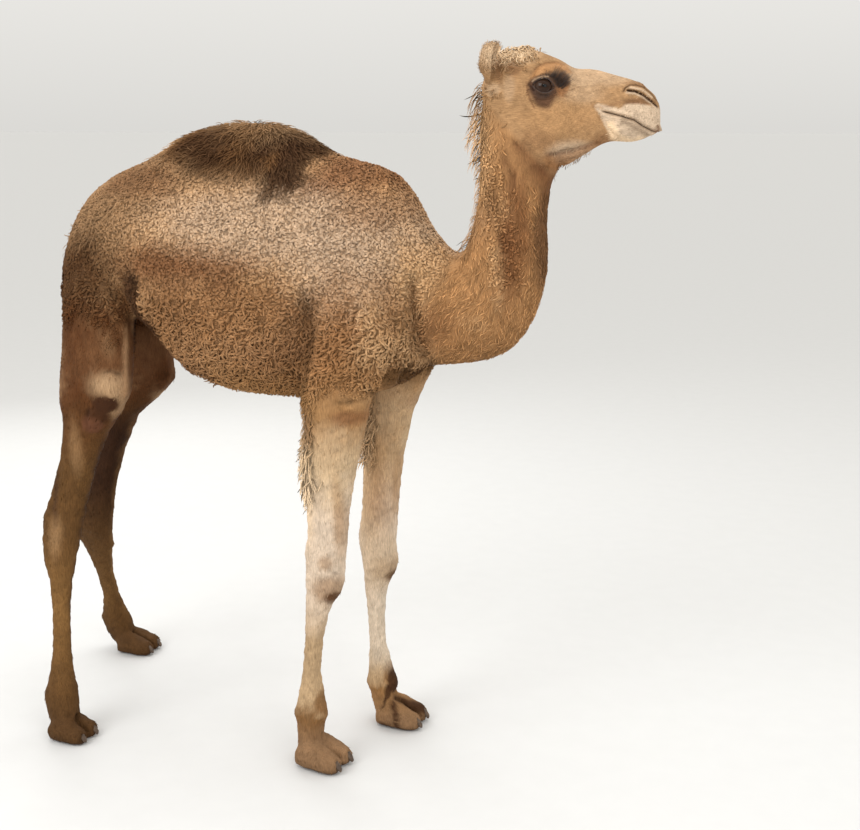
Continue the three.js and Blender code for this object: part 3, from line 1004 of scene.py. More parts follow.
@dataclass
class Coat:
    """One piece of the coat: locks of one kind over one stretch of skin.

    Fields:
        name: the piece's name.
        slot: its material slot; it is not used.
        lock: the kind of lock.
        finish: the hair's finish.
        cover: how thickly it grows at each vertex, from points, normals and parts.
        grow: how long it is at each vertex, as a share of the lock's length.
        lie: another way to lie than the skin's own.
        line: the line that the piece's unwrap goes round.
    """

    name: str
    slot: Slot
    lock: Lock
    finish: HairFinish
    cover: Callable[["Surface"], np.ndarray]
    grow: Callable[["Surface"], np.ndarray] = lambda s: np.ones(len(s.points))
    lie: Callable[["Surface"], np.ndarray] = lambda s: s.lie

    def build(self, skin: bpy.types.Mesh, surface: "Surface", tree: LockTree) -> bpy.types.Object:
        """Grows the piece and dresses it.

        Args:
            skin: the mesh that it grows on.
            surface: that mesh's surface.
            tree: what grows locks.

        Returns:
            The piece.
        """
        carrier = new_object("carrier", skin.copy())
        put_attribute(carrier.data, "cover", np.clip(self.cover(surface), 0, 1))
        put_attribute(carrier.data, "grow", self.grow(surface))
        put_attribute(carrier.data, LIE, unit(self.lie(surface)))
        grower = carrier.modifiers.new("grow_locks", "NODES")
        grower.node_group = tree.tree
        sizes = {**vars(self.lock), "hair": self.finish.material()}
        for item in tree.tree.interface.items_tree:
            if item.item_type == "SOCKET" and item.in_out == "INPUT" and item.name in sizes:
                grower[item.identifier] = sizes[item.name]
        mesh = evaluated(carrier)
        discard(carrier)
        mesh.name = self.name
        self.unwrap(mesh)
        return finished(new_object(self.name, mesh))

    def unwrap(self, mesh: bpy.types.Mesh) -> None:
        """Lays each lock as a small patch where its root lies on an unwrap of the skin's own shape.

        Args:
            mesh: the locks.
        """
        patch, border = 0.003, 0.01
        roots = column(mesh.attributes[ROOT].data, "vector", 3).astype(float)
        place = unwrapped(roots)
        low, high = place.min(0), place.max(0)
        place = border + (1 - 2 * border) * (place - low) / np.maximum(high - low, 1e-6)
        local = np.stack([column(mesh.attributes[n].data, "value", 1) for n in (TIP, ROUND)], axis=1)
        corners = column(mesh.loops, "vertex_index", 1, np.int32)
        layer = mesh.uv_layers.new(name="OFBake")
        layer.data.foreach_set("uv", (place + patch * (local - 0.5))[corners].astype(np.float32).ravel())
        for name in ("lock", "cover", "grow", LIE, ROOT):
            if mesh.attributes.get(name):
                mesh.attributes.remove(mesh.attributes[name])


def unwrapped(points: np.ndarray) -> np.ndarray:
    """Unwraps the skin: each part is slit along one line and rolled flat.

    Args:
        points: places in the row's frame.

    Returns:
        Where each point lies on the unwrap.
    """
    parts = Parts.of(points)
    place = np.zeros((len(points), 2))
    round_trunk = np.arctan2(points[:, 1], -(points[:, 2] - 1.25)) / (2 * math.pi) + 0.5
    place[:] = np.stack([(points[:, 0] + 0.75) / 1.15, round_trunk], axis=1)
    off_neck = NECK.inside(points)
    _, share, _ = NECK_LINE.nearest(points)
    round_neck = np.arctan2(off_neck[:, 1], off_neck[:, 0] - 0.25) / (2 * math.pi) + 0.5
    on_neck = parts.neck > 0.5
    place[on_neck] = np.stack([1.1 + share, round_neck], axis=1)[on_neck]
    u, v, w = HEAD.inside(points).T
    on_head = parts.head > 0.5
    round_head = np.arctan2(v, w + 0.01) / (2 * math.pi) + 0.5
    place[on_head] = np.stack([2.2 + (u + 0.1) / 0.5, round_head], axis=1)[on_head]
    limbs = list(LIMBS.values())
    gaps = np.stack([limb.nearest(points)[0] for limb in limbs], axis=1)
    on_leg = parts.leg > 0.5
    for i, limb in enumerate(limbs):
        _, share, _ = limb.nearest(points)
        here = on_leg & (gaps.argmin(1) == i)
        middle = np.array([np.interp(share, np.linspace(0, 1, 40), line) for line in limb_middle(limb)]).T
        turn = np.arctan2(points[:, 1] - middle[:, 1], points[:, 0] - middle[:, 0]) / (2 * math.pi) + 0.5
        place[here] = np.stack([3.3 + i * 1.05 + turn, 1.1 * share - 0.1], axis=1)[here]
    return place


def limb_middle(limb: Path) -> np.ndarray:
    """Points evenly along a limb's line.

    Args:
        limb: the line.

    Returns:
        Three rows of coordinates.
    """
    lengths = np.linalg.norm(np.diff(limb.points, axis=0), axis=1)
    shares = np.concatenate([[0], np.cumsum(lengths)]) / lengths.sum()
    return np.array([np.interp(np.linspace(0, 1, 40), shares, limb.points[:, k]) for k in range(3)])


def ear_share(points: np.ndarray) -> np.ndarray:
    """How far each point belongs to an ear: 1 on its upper part, 0 on the head."""
    u, v, w = HEAD.inside(points).T
    return rise(0.062, 0.080, w) * rise(-0.010, -0.024, u) * rise(0.040, 0.055, np.abs(v))


@dataclass
class Surface:
    """What the coat asks about the skin: places, normals, parts and the way the hair lies."""

    points: np.ndarray
    normals: np.ndarray
    parts: Parts
    lie: np.ndarray
    wool: np.ndarray

    @classmethod
    def of(cls, mesh: bpy.types.Mesh) -> "Surface":
        """The surface of a mesh.

        Args:
            mesh: the mesh.

        Returns:
            Its surface.
        """
        points, normals = vertices_of(mesh), normals_of(mesh)
        parts = Parts.of(points)
        return cls(points, normals, parts, cls.flow(points, normals, parts), wooliness(points, parts))

    @property
    def ears(self) -> np.ndarray:
        """How far each point belongs to an ear."""
        return ear_share(self.points)

    @property
    def short_trunk(self) -> np.ndarray:
        """The trunk where its wool has thinned out to short hair.

        Returns:
            1 there, 0 elsewhere.
        """
        p = self.parts
        trunk = (1 - p.head) * (1 - p.neck) * (1 - p.leg) * (1 - p.tail) * (1 - p.hump)
        return trunk * rise(0.75, 0.35, self.wool)

    @property
    def hump_lie(self) -> np.ndarray:
        """The hump's hair falls from its ridge to both sides and to its ends.

        Returns:
            The way that the hair lies at each point.
        """
        away = (self.points - np.array([-0.14, 0.0, 1.60])) * (1.0, 1.2, 1.0)
        way = unit(away) * (1.0, 1.0, 0.3) + np.array([-0.25, 0.0, -0.55])
        return unit(way - self.normals * np.sum(way * self.normals, axis=1, keepdims=True))

    @property
    def ear_lie(self) -> np.ndarray:
        """The ears' hair grows up and out to their edges.

        Returns:
            The way that the hair lies at each point.
        """
        way = np.tile(HEAD.turned([0.05, 0.0, 1.0]), (len(self.points), 1))
        way = way - self.normals * np.sum(way * self.normals, axis=1, keepdims=True)
        return unit(way)

    @staticmethod
    def flow(points: np.ndarray, normals: np.ndarray, parts: Parts) -> np.ndarray:
        """The way that hair lies: back and down the body, down the neck and the limbs.

        Args:
            points: places in the row's frame.
            normals: the skin's normals.
            parts: the points' parts.

        Returns:
            The way at each point.
        """
        way = np.tile([-0.62, 0.0, -0.78], (len(points), 1))
        _, _, neck_way = NECK_LINE.nearest(points)
        neck_way = unit(np.array([0.0, 0.0, -0.85]) - 0.6 * neck_way)
        way += (neck_way - way) * parts.neck[:, None]
        head_way = np.tile(HEAD.turned([-0.93, 0.0, -0.36]), (len(points), 1))
        way += (head_way - way) * parts.head[:, None]
        limbs = [limb.nearest(points) for limb in LIMBS.values()]
        nearest = np.stack([gap for gap, _, _ in limbs], axis=1).argmin(1)
        limb_way = np.stack([w for _, _, w in limbs])[nearest, np.arange(len(points))]
        way += (limb_way - way) * np.maximum(parts.leg, parts.tail)[:, None]
        way -= normals * np.sum(way * normals, axis=1, keepdims=True)
        return unit(way)


# ---- the body's own shapes ----------------------------------------------------------------------


def on_limb(name: str, ahead: float, out: float, up: float) -> np.ndarray:
    """A place on a leg, in the row's frame.

    Args:
        name: the leg.
        ahead: how far it lies before the leg's middle line.
        out: how far it lies outside that line.
        up: its height, where 0 is the sole, 1 the fetlock, 2 the knee or hock and 3 the elbow or stifle.

    Returns:
        The place's coordinates.
    """
    middle = [np.interp(up, range(5), LIMBS[name].points[::-1, k]) for k in range(3)]
    side = SIDES[name.split("_")[1]]
    return np.array(middle) + np.array([ahead, side * out, 0.0])


def up_limb(name: str, points: np.ndarray) -> np.ndarray:
    """How high points lie on a leg, counted in its joints from the sole up."""
    return np.interp(points[:, 2], LIMBS[name].points[::-1, 2], range(5))


@dataclass(frozen=True)
class Mound:
    """A soft raised place of the body; a negative height is a hollow."""

    centre: tuple[float, float, float]
    reach: float
    height: float
    stretch: float = 1.0  # how much longer it is up and down than across

    def out(self, points: np.ndarray) -> np.ndarray:
        """How far it pushes each point out."""
        gap = np.linalg.norm((points - np.array(self.centre)) / (1.0, 1.0, self.stretch), axis=1)
        return self.height * hill(gap, self.reach)


@dataclass(frozen=True)
class Fold:
    """A crease of the body along a line; a negative depth is a ridge."""

    line: tuple[tuple[float, float, float], ...]
    width: float
    depth: float
    lip: float = 0.0

    def out(self, points: np.ndarray) -> np.ndarray:
        """How far it pushes points out.

        Args:
            points: places in the row's frame.

        Returns:
            A distance for each point.
        """
        gap, share, _ = near_line(self.line, points)
        fade = rise(0.0, 0.15, share) * rise(1.0, 0.85, share)
        raised = self.lip * hill(gap - 2.2 * self.width, 1.2 * self.width)
        return (raised - self.depth * hill(gap, self.width)) * fade


# On the right flank; the left one has the same. The first two lie where neck and thigh meet the trunk.
NECK_FOLD = Fold(((0.342, -0.114, 1.26), (0.342, -0.114, 1.186), (0.338, -0.105, 1.130),
                  (0.332, -0.085, 1.085), (0.345, -0.050, 1.045), (0.372, -0.020, 1.032)),
                 0.013, 0.022, 0.006)
THIGH_FOLD = Fold(((-0.353, -0.242, 1.235), (-0.361, -0.238, 1.180), (-0.375, -0.227, 1.143),
                   (-0.400, -0.200, 1.10)), 0.014, 0.012, 0.004)
FLANK_SHAPES = (
    NECK_FOLD,
    Fold(((0.356, -0.106, 1.17), (0.352, -0.100, 1.13), (0.352, -0.085, 1.09), (0.362, -0.055, 1.055)),
         0.008, 0.007, 0.003),
    Fold(((0.330, -0.080, 1.065), (0.308, -0.066, 1.028), (0.288, -0.048, 0.998), (0.264, -0.020, 0.974)),
         0.008, 0.007, 0.004),
    Fold(((0.258, -0.015, 0.968), (0.285, -0.018, 0.985), (0.318, -0.022, 1.008)), 0.006, 0.005, 0.003),
    Fold(((0.190, -0.222, 0.958), (0.221, -0.209, 0.960), (0.236, -0.170, 0.956)), 0.008, 0.008, 0.004),
    Fold(((0.232, -0.200, 0.998), (0.250, -0.182, 0.988), (0.256, -0.150, 0.972)), 0.008, 0.008, 0.004),
    Fold(((0.205, -0.190, 0.925), (0.222, -0.160, 0.920), (0.222, -0.135, 0.922)), 0.006, 0.005, 0.002),
    Fold(((0.104, -0.203, 1.21), (0.108, -0.200, 1.154), (0.113, -0.199, 1.116), (0.106, -0.206, 1.066),
          (0.100, -0.211, 1.025), (0.086, -0.199, 0.98)), 0.022, 0.009, 0.004),
    THIGH_FOLD,
    Fold(((-0.415, -0.175, 1.10), (-0.418, -0.184, 1.054), (-0.420, -0.190, 1.00), (-0.424, -0.197, 0.95)),
         0.007, -0.004),
    Mound((0.300, -0.140, 1.065), 0.036, 0.008),
    Mound((0.190, -0.235, 1.070), 0.060, 0.006),
    Mound((0.250, -0.205, 1.215), 0.055, 0.006),
    Mound((0.165, -0.215, 1.285), 0.045, -0.004, 1.6),
    Mound((-0.500, -0.235, 1.200), 0.080, 0.006),
    Mound((-0.440, -0.215, 1.060), 0.030, -0.004, 1.6),
)


def both_sides(
    ahead: float, out: float, up: float, reach: float, height: float, stretch: float = 1.0
) -> list[tuple[float, ...]]:
    """The same mound of a leg on its outer and its inner side."""
    return [(ahead, side * out, up, reach, height, stretch) for side in (1, -1)]


def both_folds(width: float, depth: float, lip: float, *places: tuple[float, float, float]) -> list[tuple]:
    """The same fold of a leg on its outer and its inner side.

    Args:
        width, depth, lip: the fold's measures.
        places: the outer one's, as ahead, out, up.

    Returns:
        Both folds.
    """
    sides = [tuple((ahead, side * out, up) for ahead, out, up in places) for side in (1, -1)]
    return [(width, depth, lip, line) for line in sides]


# Each leg's mounds: ahead, out, up, reach, height, stretch.
FORELEG_MOUNDS = (
    (0.044, 0.0, 1.84, 0.024, 0.006, 1.2), (-0.046, 0.004, 2.08, 0.022, 0.006, 1.2),
    *both_sides(0.006, 0.040, 2.02, 0.018, 0.0035), *both_sides(-0.012, 0.040, 2.16, 0.020, -0.0035, 1.6),
    *both_sides(0.018, 0.040, 1.90, 0.014, -0.0025), *both_sides(0.004, 0.040, 1.05, 0.020, 0.0035),
    (-0.036, 0.0, 1.00, 0.018, 0.004, 1.0), (0.030, 0.030, 2.70, 0.050, 0.005, 2.0),
    (0.034, 0.0, 1.02, 0.020, 0.004, 1.0), (0.030, 0.0, 0.74, 0.020, -0.005, 1.0),
    (-0.032, 0.0, 0.70, 0.020, -0.005, 1.0),
)
HINDLEG_MOUNDS = (
    *both_sides(0.020, 0.042, 1.91, 0.024, 0.004), (-0.050, 0.0, 2.06, 0.022, 0.006, 1.3),
    (0.034, 0.0, 1.76, 0.016, 0.0035, 1.0), *both_sides(-0.006, 0.042, 2.02, 0.014, -0.003),
    (0.062, 0.045, 3.05, 0.036, 0.007, 1.0), (0.040, 0.048, 2.80, 0.024, 0.006, 1.0),
    *both_sides(0.004, 0.040, 1.05, 0.020, 0.0035), (-0.036, 0.0, 1.00, 0.018, 0.004, 1.0),
    (-0.010, 0.060, 2.62, 0.045, 0.005, 2.0),
)
# Each leg's folds: width, depth, lip, and places as ahead, out, up.
FORELEG_FOLDS = (
    *both_folds(0.0055, 0.0030, 0.0010, (-0.008, 0.045, 1.80), (-0.010, 0.036, 1.55), (-0.012, 0.034, 1.20)),
    (0.0110, 0.0035, 0.0010, ((0.004, 0.075, 2.85), (-0.004, 0.060, 2.50), (-0.006, 0.045, 2.18))),
    (0.0050, 0.0030, 0.0010, ((-0.034, 0.030, 2.22), (-0.030, 0.040, 2.10), (-0.036, 0.040, 1.98))),
    (0.0045, 0.0025, 0.0010, ((0.020, 0.045, 2.06), (0.036, 0.034, 1.97), (0.044, 0.010, 1.95))),
)
HINDLEG_FOLDS = (
    *both_folds(0.0085, 0.0080, 0.0020,
                (-0.046, 0.045, 2.66), (-0.038, 0.045, 2.42), (-0.032, 0.040, 2.225), (-0.038, 0.036, 2.12)),
    *both_folds(0.0055, 0.0030, 0.0010, (-0.014, 0.040, 1.78), (-0.014, 0.034, 1.50), (-0.020, 0.036, 1.17)),
    (0.0050, 0.0045, 0.0016, ((0.046, 0.052, 3.12), (0.066, 0.046, 3.14), (0.086, 0.026, 3.11))),
    (0.0050, 0.0040, 0.0016, ((0.012, 0.052, 2.90), (0.014, 0.050, 2.80), (0.030, 0.046, 2.71),
                              (0.050, 0.036, 2.72))),
)
CLEFT_WIDTH, CLEFT_DEPTH, CLEFT_LIP = 0.0060, 0.0220, 0.002


def leg_shapes() -> list[Mound | Fold]:
    """The joints, tendons and toe clefts of all four legs.

    Returns:
        Their mounds and folds.
    """
    shapes: list[Mound | Fold] = []
    for name in LIMBS:
        fore = name.startswith("fore")
        for ahead, out, up, reach, height, stretch in FORELEG_MOUNDS if fore else HINDLEG_MOUNDS:
            shapes.append(Mound(tuple(on_limb(name, ahead, out, up)), reach, height, stretch))
        for width, depth, lip, places in FORELEG_FOLDS if fore else HINDLEG_FOLDS:
            shapes.append(Fold(tuple(tuple(on_limb(name, *place)) for place in places), width, depth, lip))
        nodes = [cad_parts[f"{name}_claw_{which}"] for which in ("inner", "outer")]
        claws = [vertices_of(node.data).mean(0) for node in nodes]
        shapes += [Mound(tuple(claw + np.array([-0.012, 0.0, 0.010])), 0.017, 0.006) for claw in claws]
        tip = (claws[0] + claws[1]) / 2
        start = on_limb(name, 0.030, 0.0, 0.62)
        bend = start + (tip - start) * 0.45 + np.array([0.0, 0.0, -0.004])
        cleft = tuple(tuple(place) for place in (start, bend, tip, tip - [0, 0, 0.03]))
        shapes.append(Fold(cleft, CLEFT_WIDTH, CLEFT_DEPTH, CLEFT_LIP))
    return shapes


def shaped_body(points: np.ndarray, normals: np.ndarray) -> np.ndarray:
    """Pushes the body's folds, muscles, joints and clefts in and out.

    Args:
        points: the skin's vertices.
        normals: the skin's normals.

    Returns:
        The new vertices.
    """
    right = on_right(points)
    out = sum(shape.out(right) for shape in FLANK_SHAPES)
    out = out + sum(shape.out(points) for shape in leg_shapes())
    out += 0.0007 * ripple(points, 0.03, 21) * rise(1.0, 0.9, points[:, 2])
    return points + normals * out[:, None]


def wooliness(points: np.ndarray, parts: Parts) -> np.ndarray:
    """How long and thick the wool grows.

    Args:
        points: places in the row's frame.
        parts: the points' parts.

    Returns:
        1 over the trunk, less down the thighs, elbows and chest.
    """
    x, y, z = points.T
    wander = 0.02 * ripple(points, 0.09, 41)
    forearm = rise(0.90, 0.97, z + 1.5 * wander) * rise(-0.10, 0.0, x) * rise(0.24, 0.16, x)
    trunk = (1 - parts.head) * (1 - parts.neck) * (1 - parts.leg * (1 - forearm)) * (1 - parts.tail)
    thigh = rise(0.98, 1.26, z + 3.0 * wander) + rise(-0.40, -0.36, x)
    elbow = rise(0.88, 1.06, z + wander) + rise(0.10, 0.06, x)
    chest = rise(0.88, 1.04, z) + rise(0.20, 0.10, x)
    worn = 0.35 * hill(x - 0.065, 0.040) * rise(1.20, 1.12, z) * rise(-0.04, -0.10, 0.1 - np.abs(y))
    under = 1 - 0.4 * rise(0.13, 0.08, np.abs(y)) * rise(1.1, 1.0, z)
    right = on_right(points)
    neck_fold, _, _ = near_line(NECK_FOLD.line, right)
    thigh_fold, _, _ = near_line(THIGH_FOLD.line, right)
    folds = (1 - 0.45 * hill(neck_fold, 0.020)) * (1 - 0.45 * hill(thigh_fold, 0.018))
    ends = np.clip(thigh, 0.12, 1) * np.clip(elbow, 0.2, 1) * np.clip(chest, 0.2, 1)
    return trunk * ends * (1 - worn) * under * folds


# ---- the head's own shapes ----------------------------------------------------------------------


@dataclass(frozen=True)
class Groove:
    """A furrow in the head's skin, along a line that is given as seen from its side.

    Fields:
        line: places along the head and up from its origin.
        width: how far it reaches to each side.
        depth: how deep it is; a negative depth is a ridge.
        lip: how far its edges are raised.
    """

    line: tuple[tuple[float, float], ...]
    width: float
    depth: float
    lip: float = 0.0


def arc(
    centre: tuple[float, float], radius: float, start: float, end: float
) -> tuple[tuple[float, float], ...]:
    """Places along part of a circle.

    Args:
        centre: its middle.
        radius: its radius.
        start, end: its first and last angle in degrees.

    Returns:
        The places.
    """
    angles = np.radians(np.linspace(start, end, 13))
    return tuple((centre[0] + radius * math.cos(a), centre[1] + radius * math.sin(a)) for a in angles)


NOSTRIL = ((0.264, 0.034), (0.286, 0.032), (0.305, 0.024), (0.326, 0.009), (0.339, -0.003))
NOSTRIL_FOLD = ((0.258, 0.026), (0.264, 0.038), (0.275, 0.0455), (0.290, 0.046), (0.308, 0.040),
                (0.326, 0.026), (0.337, 0.012))
MOUTH = ((0.206, -0.012), (0.231, -0.018), (0.259, -0.025), (0.287, -0.034), (0.307, -0.047),
         (0.329, -0.058), (0.365, -0.064))
# Folds of the throat and the jaw, which are also darkened with painted shade.
THROAT_FOLD = ((0.0081, -0.0806), (0.024, -0.1029), (0.0463, -0.1284), (0.075, -0.1571))
FRONT_THROAT_FOLD = ((0.024, -0.0806), (0.0527, -0.1141), (0.0814, -0.1427))
REAR_THROAT_FOLD = ((-0.0174, -0.1188), (-0.0046, -0.1459), (0.024, -0.1762))
JAW_FOLD = ((0.0782, -0.1157), (0.1419, -0.1045), (0.2088, -0.0838))
GROOVES = (
    Groove(NOSTRIL, 0.0026, 0.010, 0.0022),
    Groove(NOSTRIL_FOLD, 0.0022, 0.0026, 0.0010),
    Groove(MOUTH, 0.0034, 0.0070, 0.0020),
    Groove(((0.184, 0.006), (0.206, 0.000), (0.236, -0.004)), 0.0035, 0.0026, 0.0008),
    Groove(((0.226, 0.013), (0.262, 0.006), (0.300, 0.003)), 0.0060, 0.0020, 0.0006),
    Groove(((0.205, -0.016), (0.213, -0.040), (0.236, -0.066), (0.262, -0.082)), 0.0045, 0.0032, 0.0010),
    Groove(arc((0.082, 0.037), 0.047, 95, 255), 0.0045, 0.0030, 0.0012),
    Groove(arc((0.076, 0.040), 0.031, 195, 330), 0.0030, 0.0018, 0.0008),
    Groove(((0.110, 0.030), (0.125, 0.020), (0.142, 0.016)), 0.0022, 0.0020, 0.0008),
    Groove(((0.113, 0.038), (0.130, 0.033), (0.150, 0.034)), 0.0022, 0.0014, 0.0006),
    Groove(((0.135, 0.058), (0.165, 0.050), (0.200, 0.052)), 0.0030, 0.0012, 0.0006),
    Groove(((0.140, 0.044), (0.170, 0.038), (0.205, 0.042)), 0.0030, 0.0012, 0.0006),
    Groove(((0.150, 0.030), (0.175, 0.026), (0.210, 0.030)), 0.0030, 0.0010, 0.0005),
    Groove(((0.160, -0.030), (0.178, -0.052), (0.186, -0.080)), 0.0070, 0.0016, 0.0005),
    Groove(THROAT_FOLD, 0.0080, 0.0100, 0.0050),
    Groove(FRONT_THROAT_FOLD, 0.0070, 0.0080, 0.0040),
    Groove(REAR_THROAT_FOLD, 0.0070, 0.0080, 0.0040),
    Groove(JAW_FOLD, 0.0050, 0.0042, 0.0014),
    Groove(((0.0463, 0.0627), (0.0591, 0.0824), (0.0798, 0.093), (0.1069, 0.0952), (0.1291, 0.0866)),
           0.0040, 0.0026, 0.0010),
)


@dataclass(frozen=True)
class Swell:
    """A soft raised or hollow place on both sides of the head: along, out and up from the head's origin."""

    along: float
    up: float
    reach: float
    out: float


SWELLS = (
    Swell(0.078, 0.040, 0.034, 0.004),  # the round of the eye's socket
    Swell(0.020, 0.030, 0.020, 0.003),  # the cheek bone behind the eye
    Swell(-0.005, 0.070, 0.020, -0.004),  # the temple in front of the ear
    Swell(0.128, 0.046, 0.018, -0.003),  # the hollow before the eye
    Swell(0.225, 0.030, 0.022, -0.003),  # the hollow behind the nostril
    Swell(0.298, 0.038, 0.012, 0.0030),  # the nostril's upper wing
    Swell(0.300, 0.010, 0.010, 0.0022),  # the nostril's lower wing
    Swell(0.290, -0.014, 0.020, 0.0032),  # the upper lip
    Swell(0.266, -0.056, 0.026, 0.0060),  # the lower lip
    Swell(0.200, 0.078, 0.040, 0.0040),  # the bridge of the nose
    Swell(0.290, 0.052, 0.030, 0.0030),  # the nose over the nostrils
    Swell(0.060, -0.060, 0.030, 0.003),  # the jaw muscle
    Swell(0.130, -0.070, 0.025, -0.003),  # the hollow in front of it
)


@dataclass(frozen=True)
class EyeSocket:
    """One eye's place and opening, in the head's frame with its side turned to face out.

    Fields:
        centre: the middle of the eyeball: along, out and up.
        ball: the eyeball's radius.
        way: the way the eye looks.
        tilt: how far the opening's front corner is lowered, in degrees.
        wide: half of the opening's length.
        above, below: how far the opening reaches over and under its middle line.
        lid: how thick the lids are.
    """

    centre: tuple[float, float, float] = (0.075, 0.0675, 0.042)
    ball: float = 0.0205
    way: tuple[float, float, float] = (0.16, 0.97, 0.06)
    tilt: float = 9.0
    wide: float = 0.0265
    above: float = 0.0180
    below: float = 0.0155
    lid: float = 0.0028

    @property
    def axes(self) -> np.ndarray:
        """The eye's own directions.

        Returns:
            Three rows: forward along the opening, up across it, and out.
        """
        out = unit(np.array(self.way))
        forward = unit(np.cross(np.array([0.0, 0.0, 1.0]), out))
        forward = forward * np.sign(forward[0])
        up = unit(np.cross(out, forward))
        up = up * np.sign(up[2])
        c, s = math.cos(math.radians(self.tilt)), math.sin(math.radians(self.tilt))
        return np.array([forward * c - up * s, up * c + forward * s, out])

    def inside(self, local: np.ndarray) -> np.ndarray:
        """Places in the eye's own frame."""
        return (local - np.array(self.centre)) @ self.axes.T

    def outside(self, own: np.ndarray) -> np.ndarray:
        """Places of the eye's own frame, in the head's frame."""
        return np.asarray(own) @ self.axes + np.array(self.centre)

    def opening(self, own: np.ndarray) -> np.ndarray:
        """Below 1 inside the opening between the lids, 1 on its edge."""
        height = np.where(own[:, 1] > 0, self.above, self.below)
        return (own[:, 0] / self.wide) ** 2 + np.abs(own[:, 1]) / height

    def edge(self, shares: np.ndarray, grow: float = 1.0) -> np.ndarray:
        """Places on the opening's edge.

        Args:
            shares: how far round they are, from 0 at the front corner over the top to 1.
            grow: how many times as large as the opening the edge is.

        Returns:
            Each one's place along and up.
        """
        turn = shares * 2 * math.pi
        x = np.cos(turn)
        height = np.where(np.sin(turn) >= 0, self.above, -self.below)
        return np.stack([x * self.wide, height * (1 - x * x)], axis=1) * grow


SOCKET = EyeSocket()


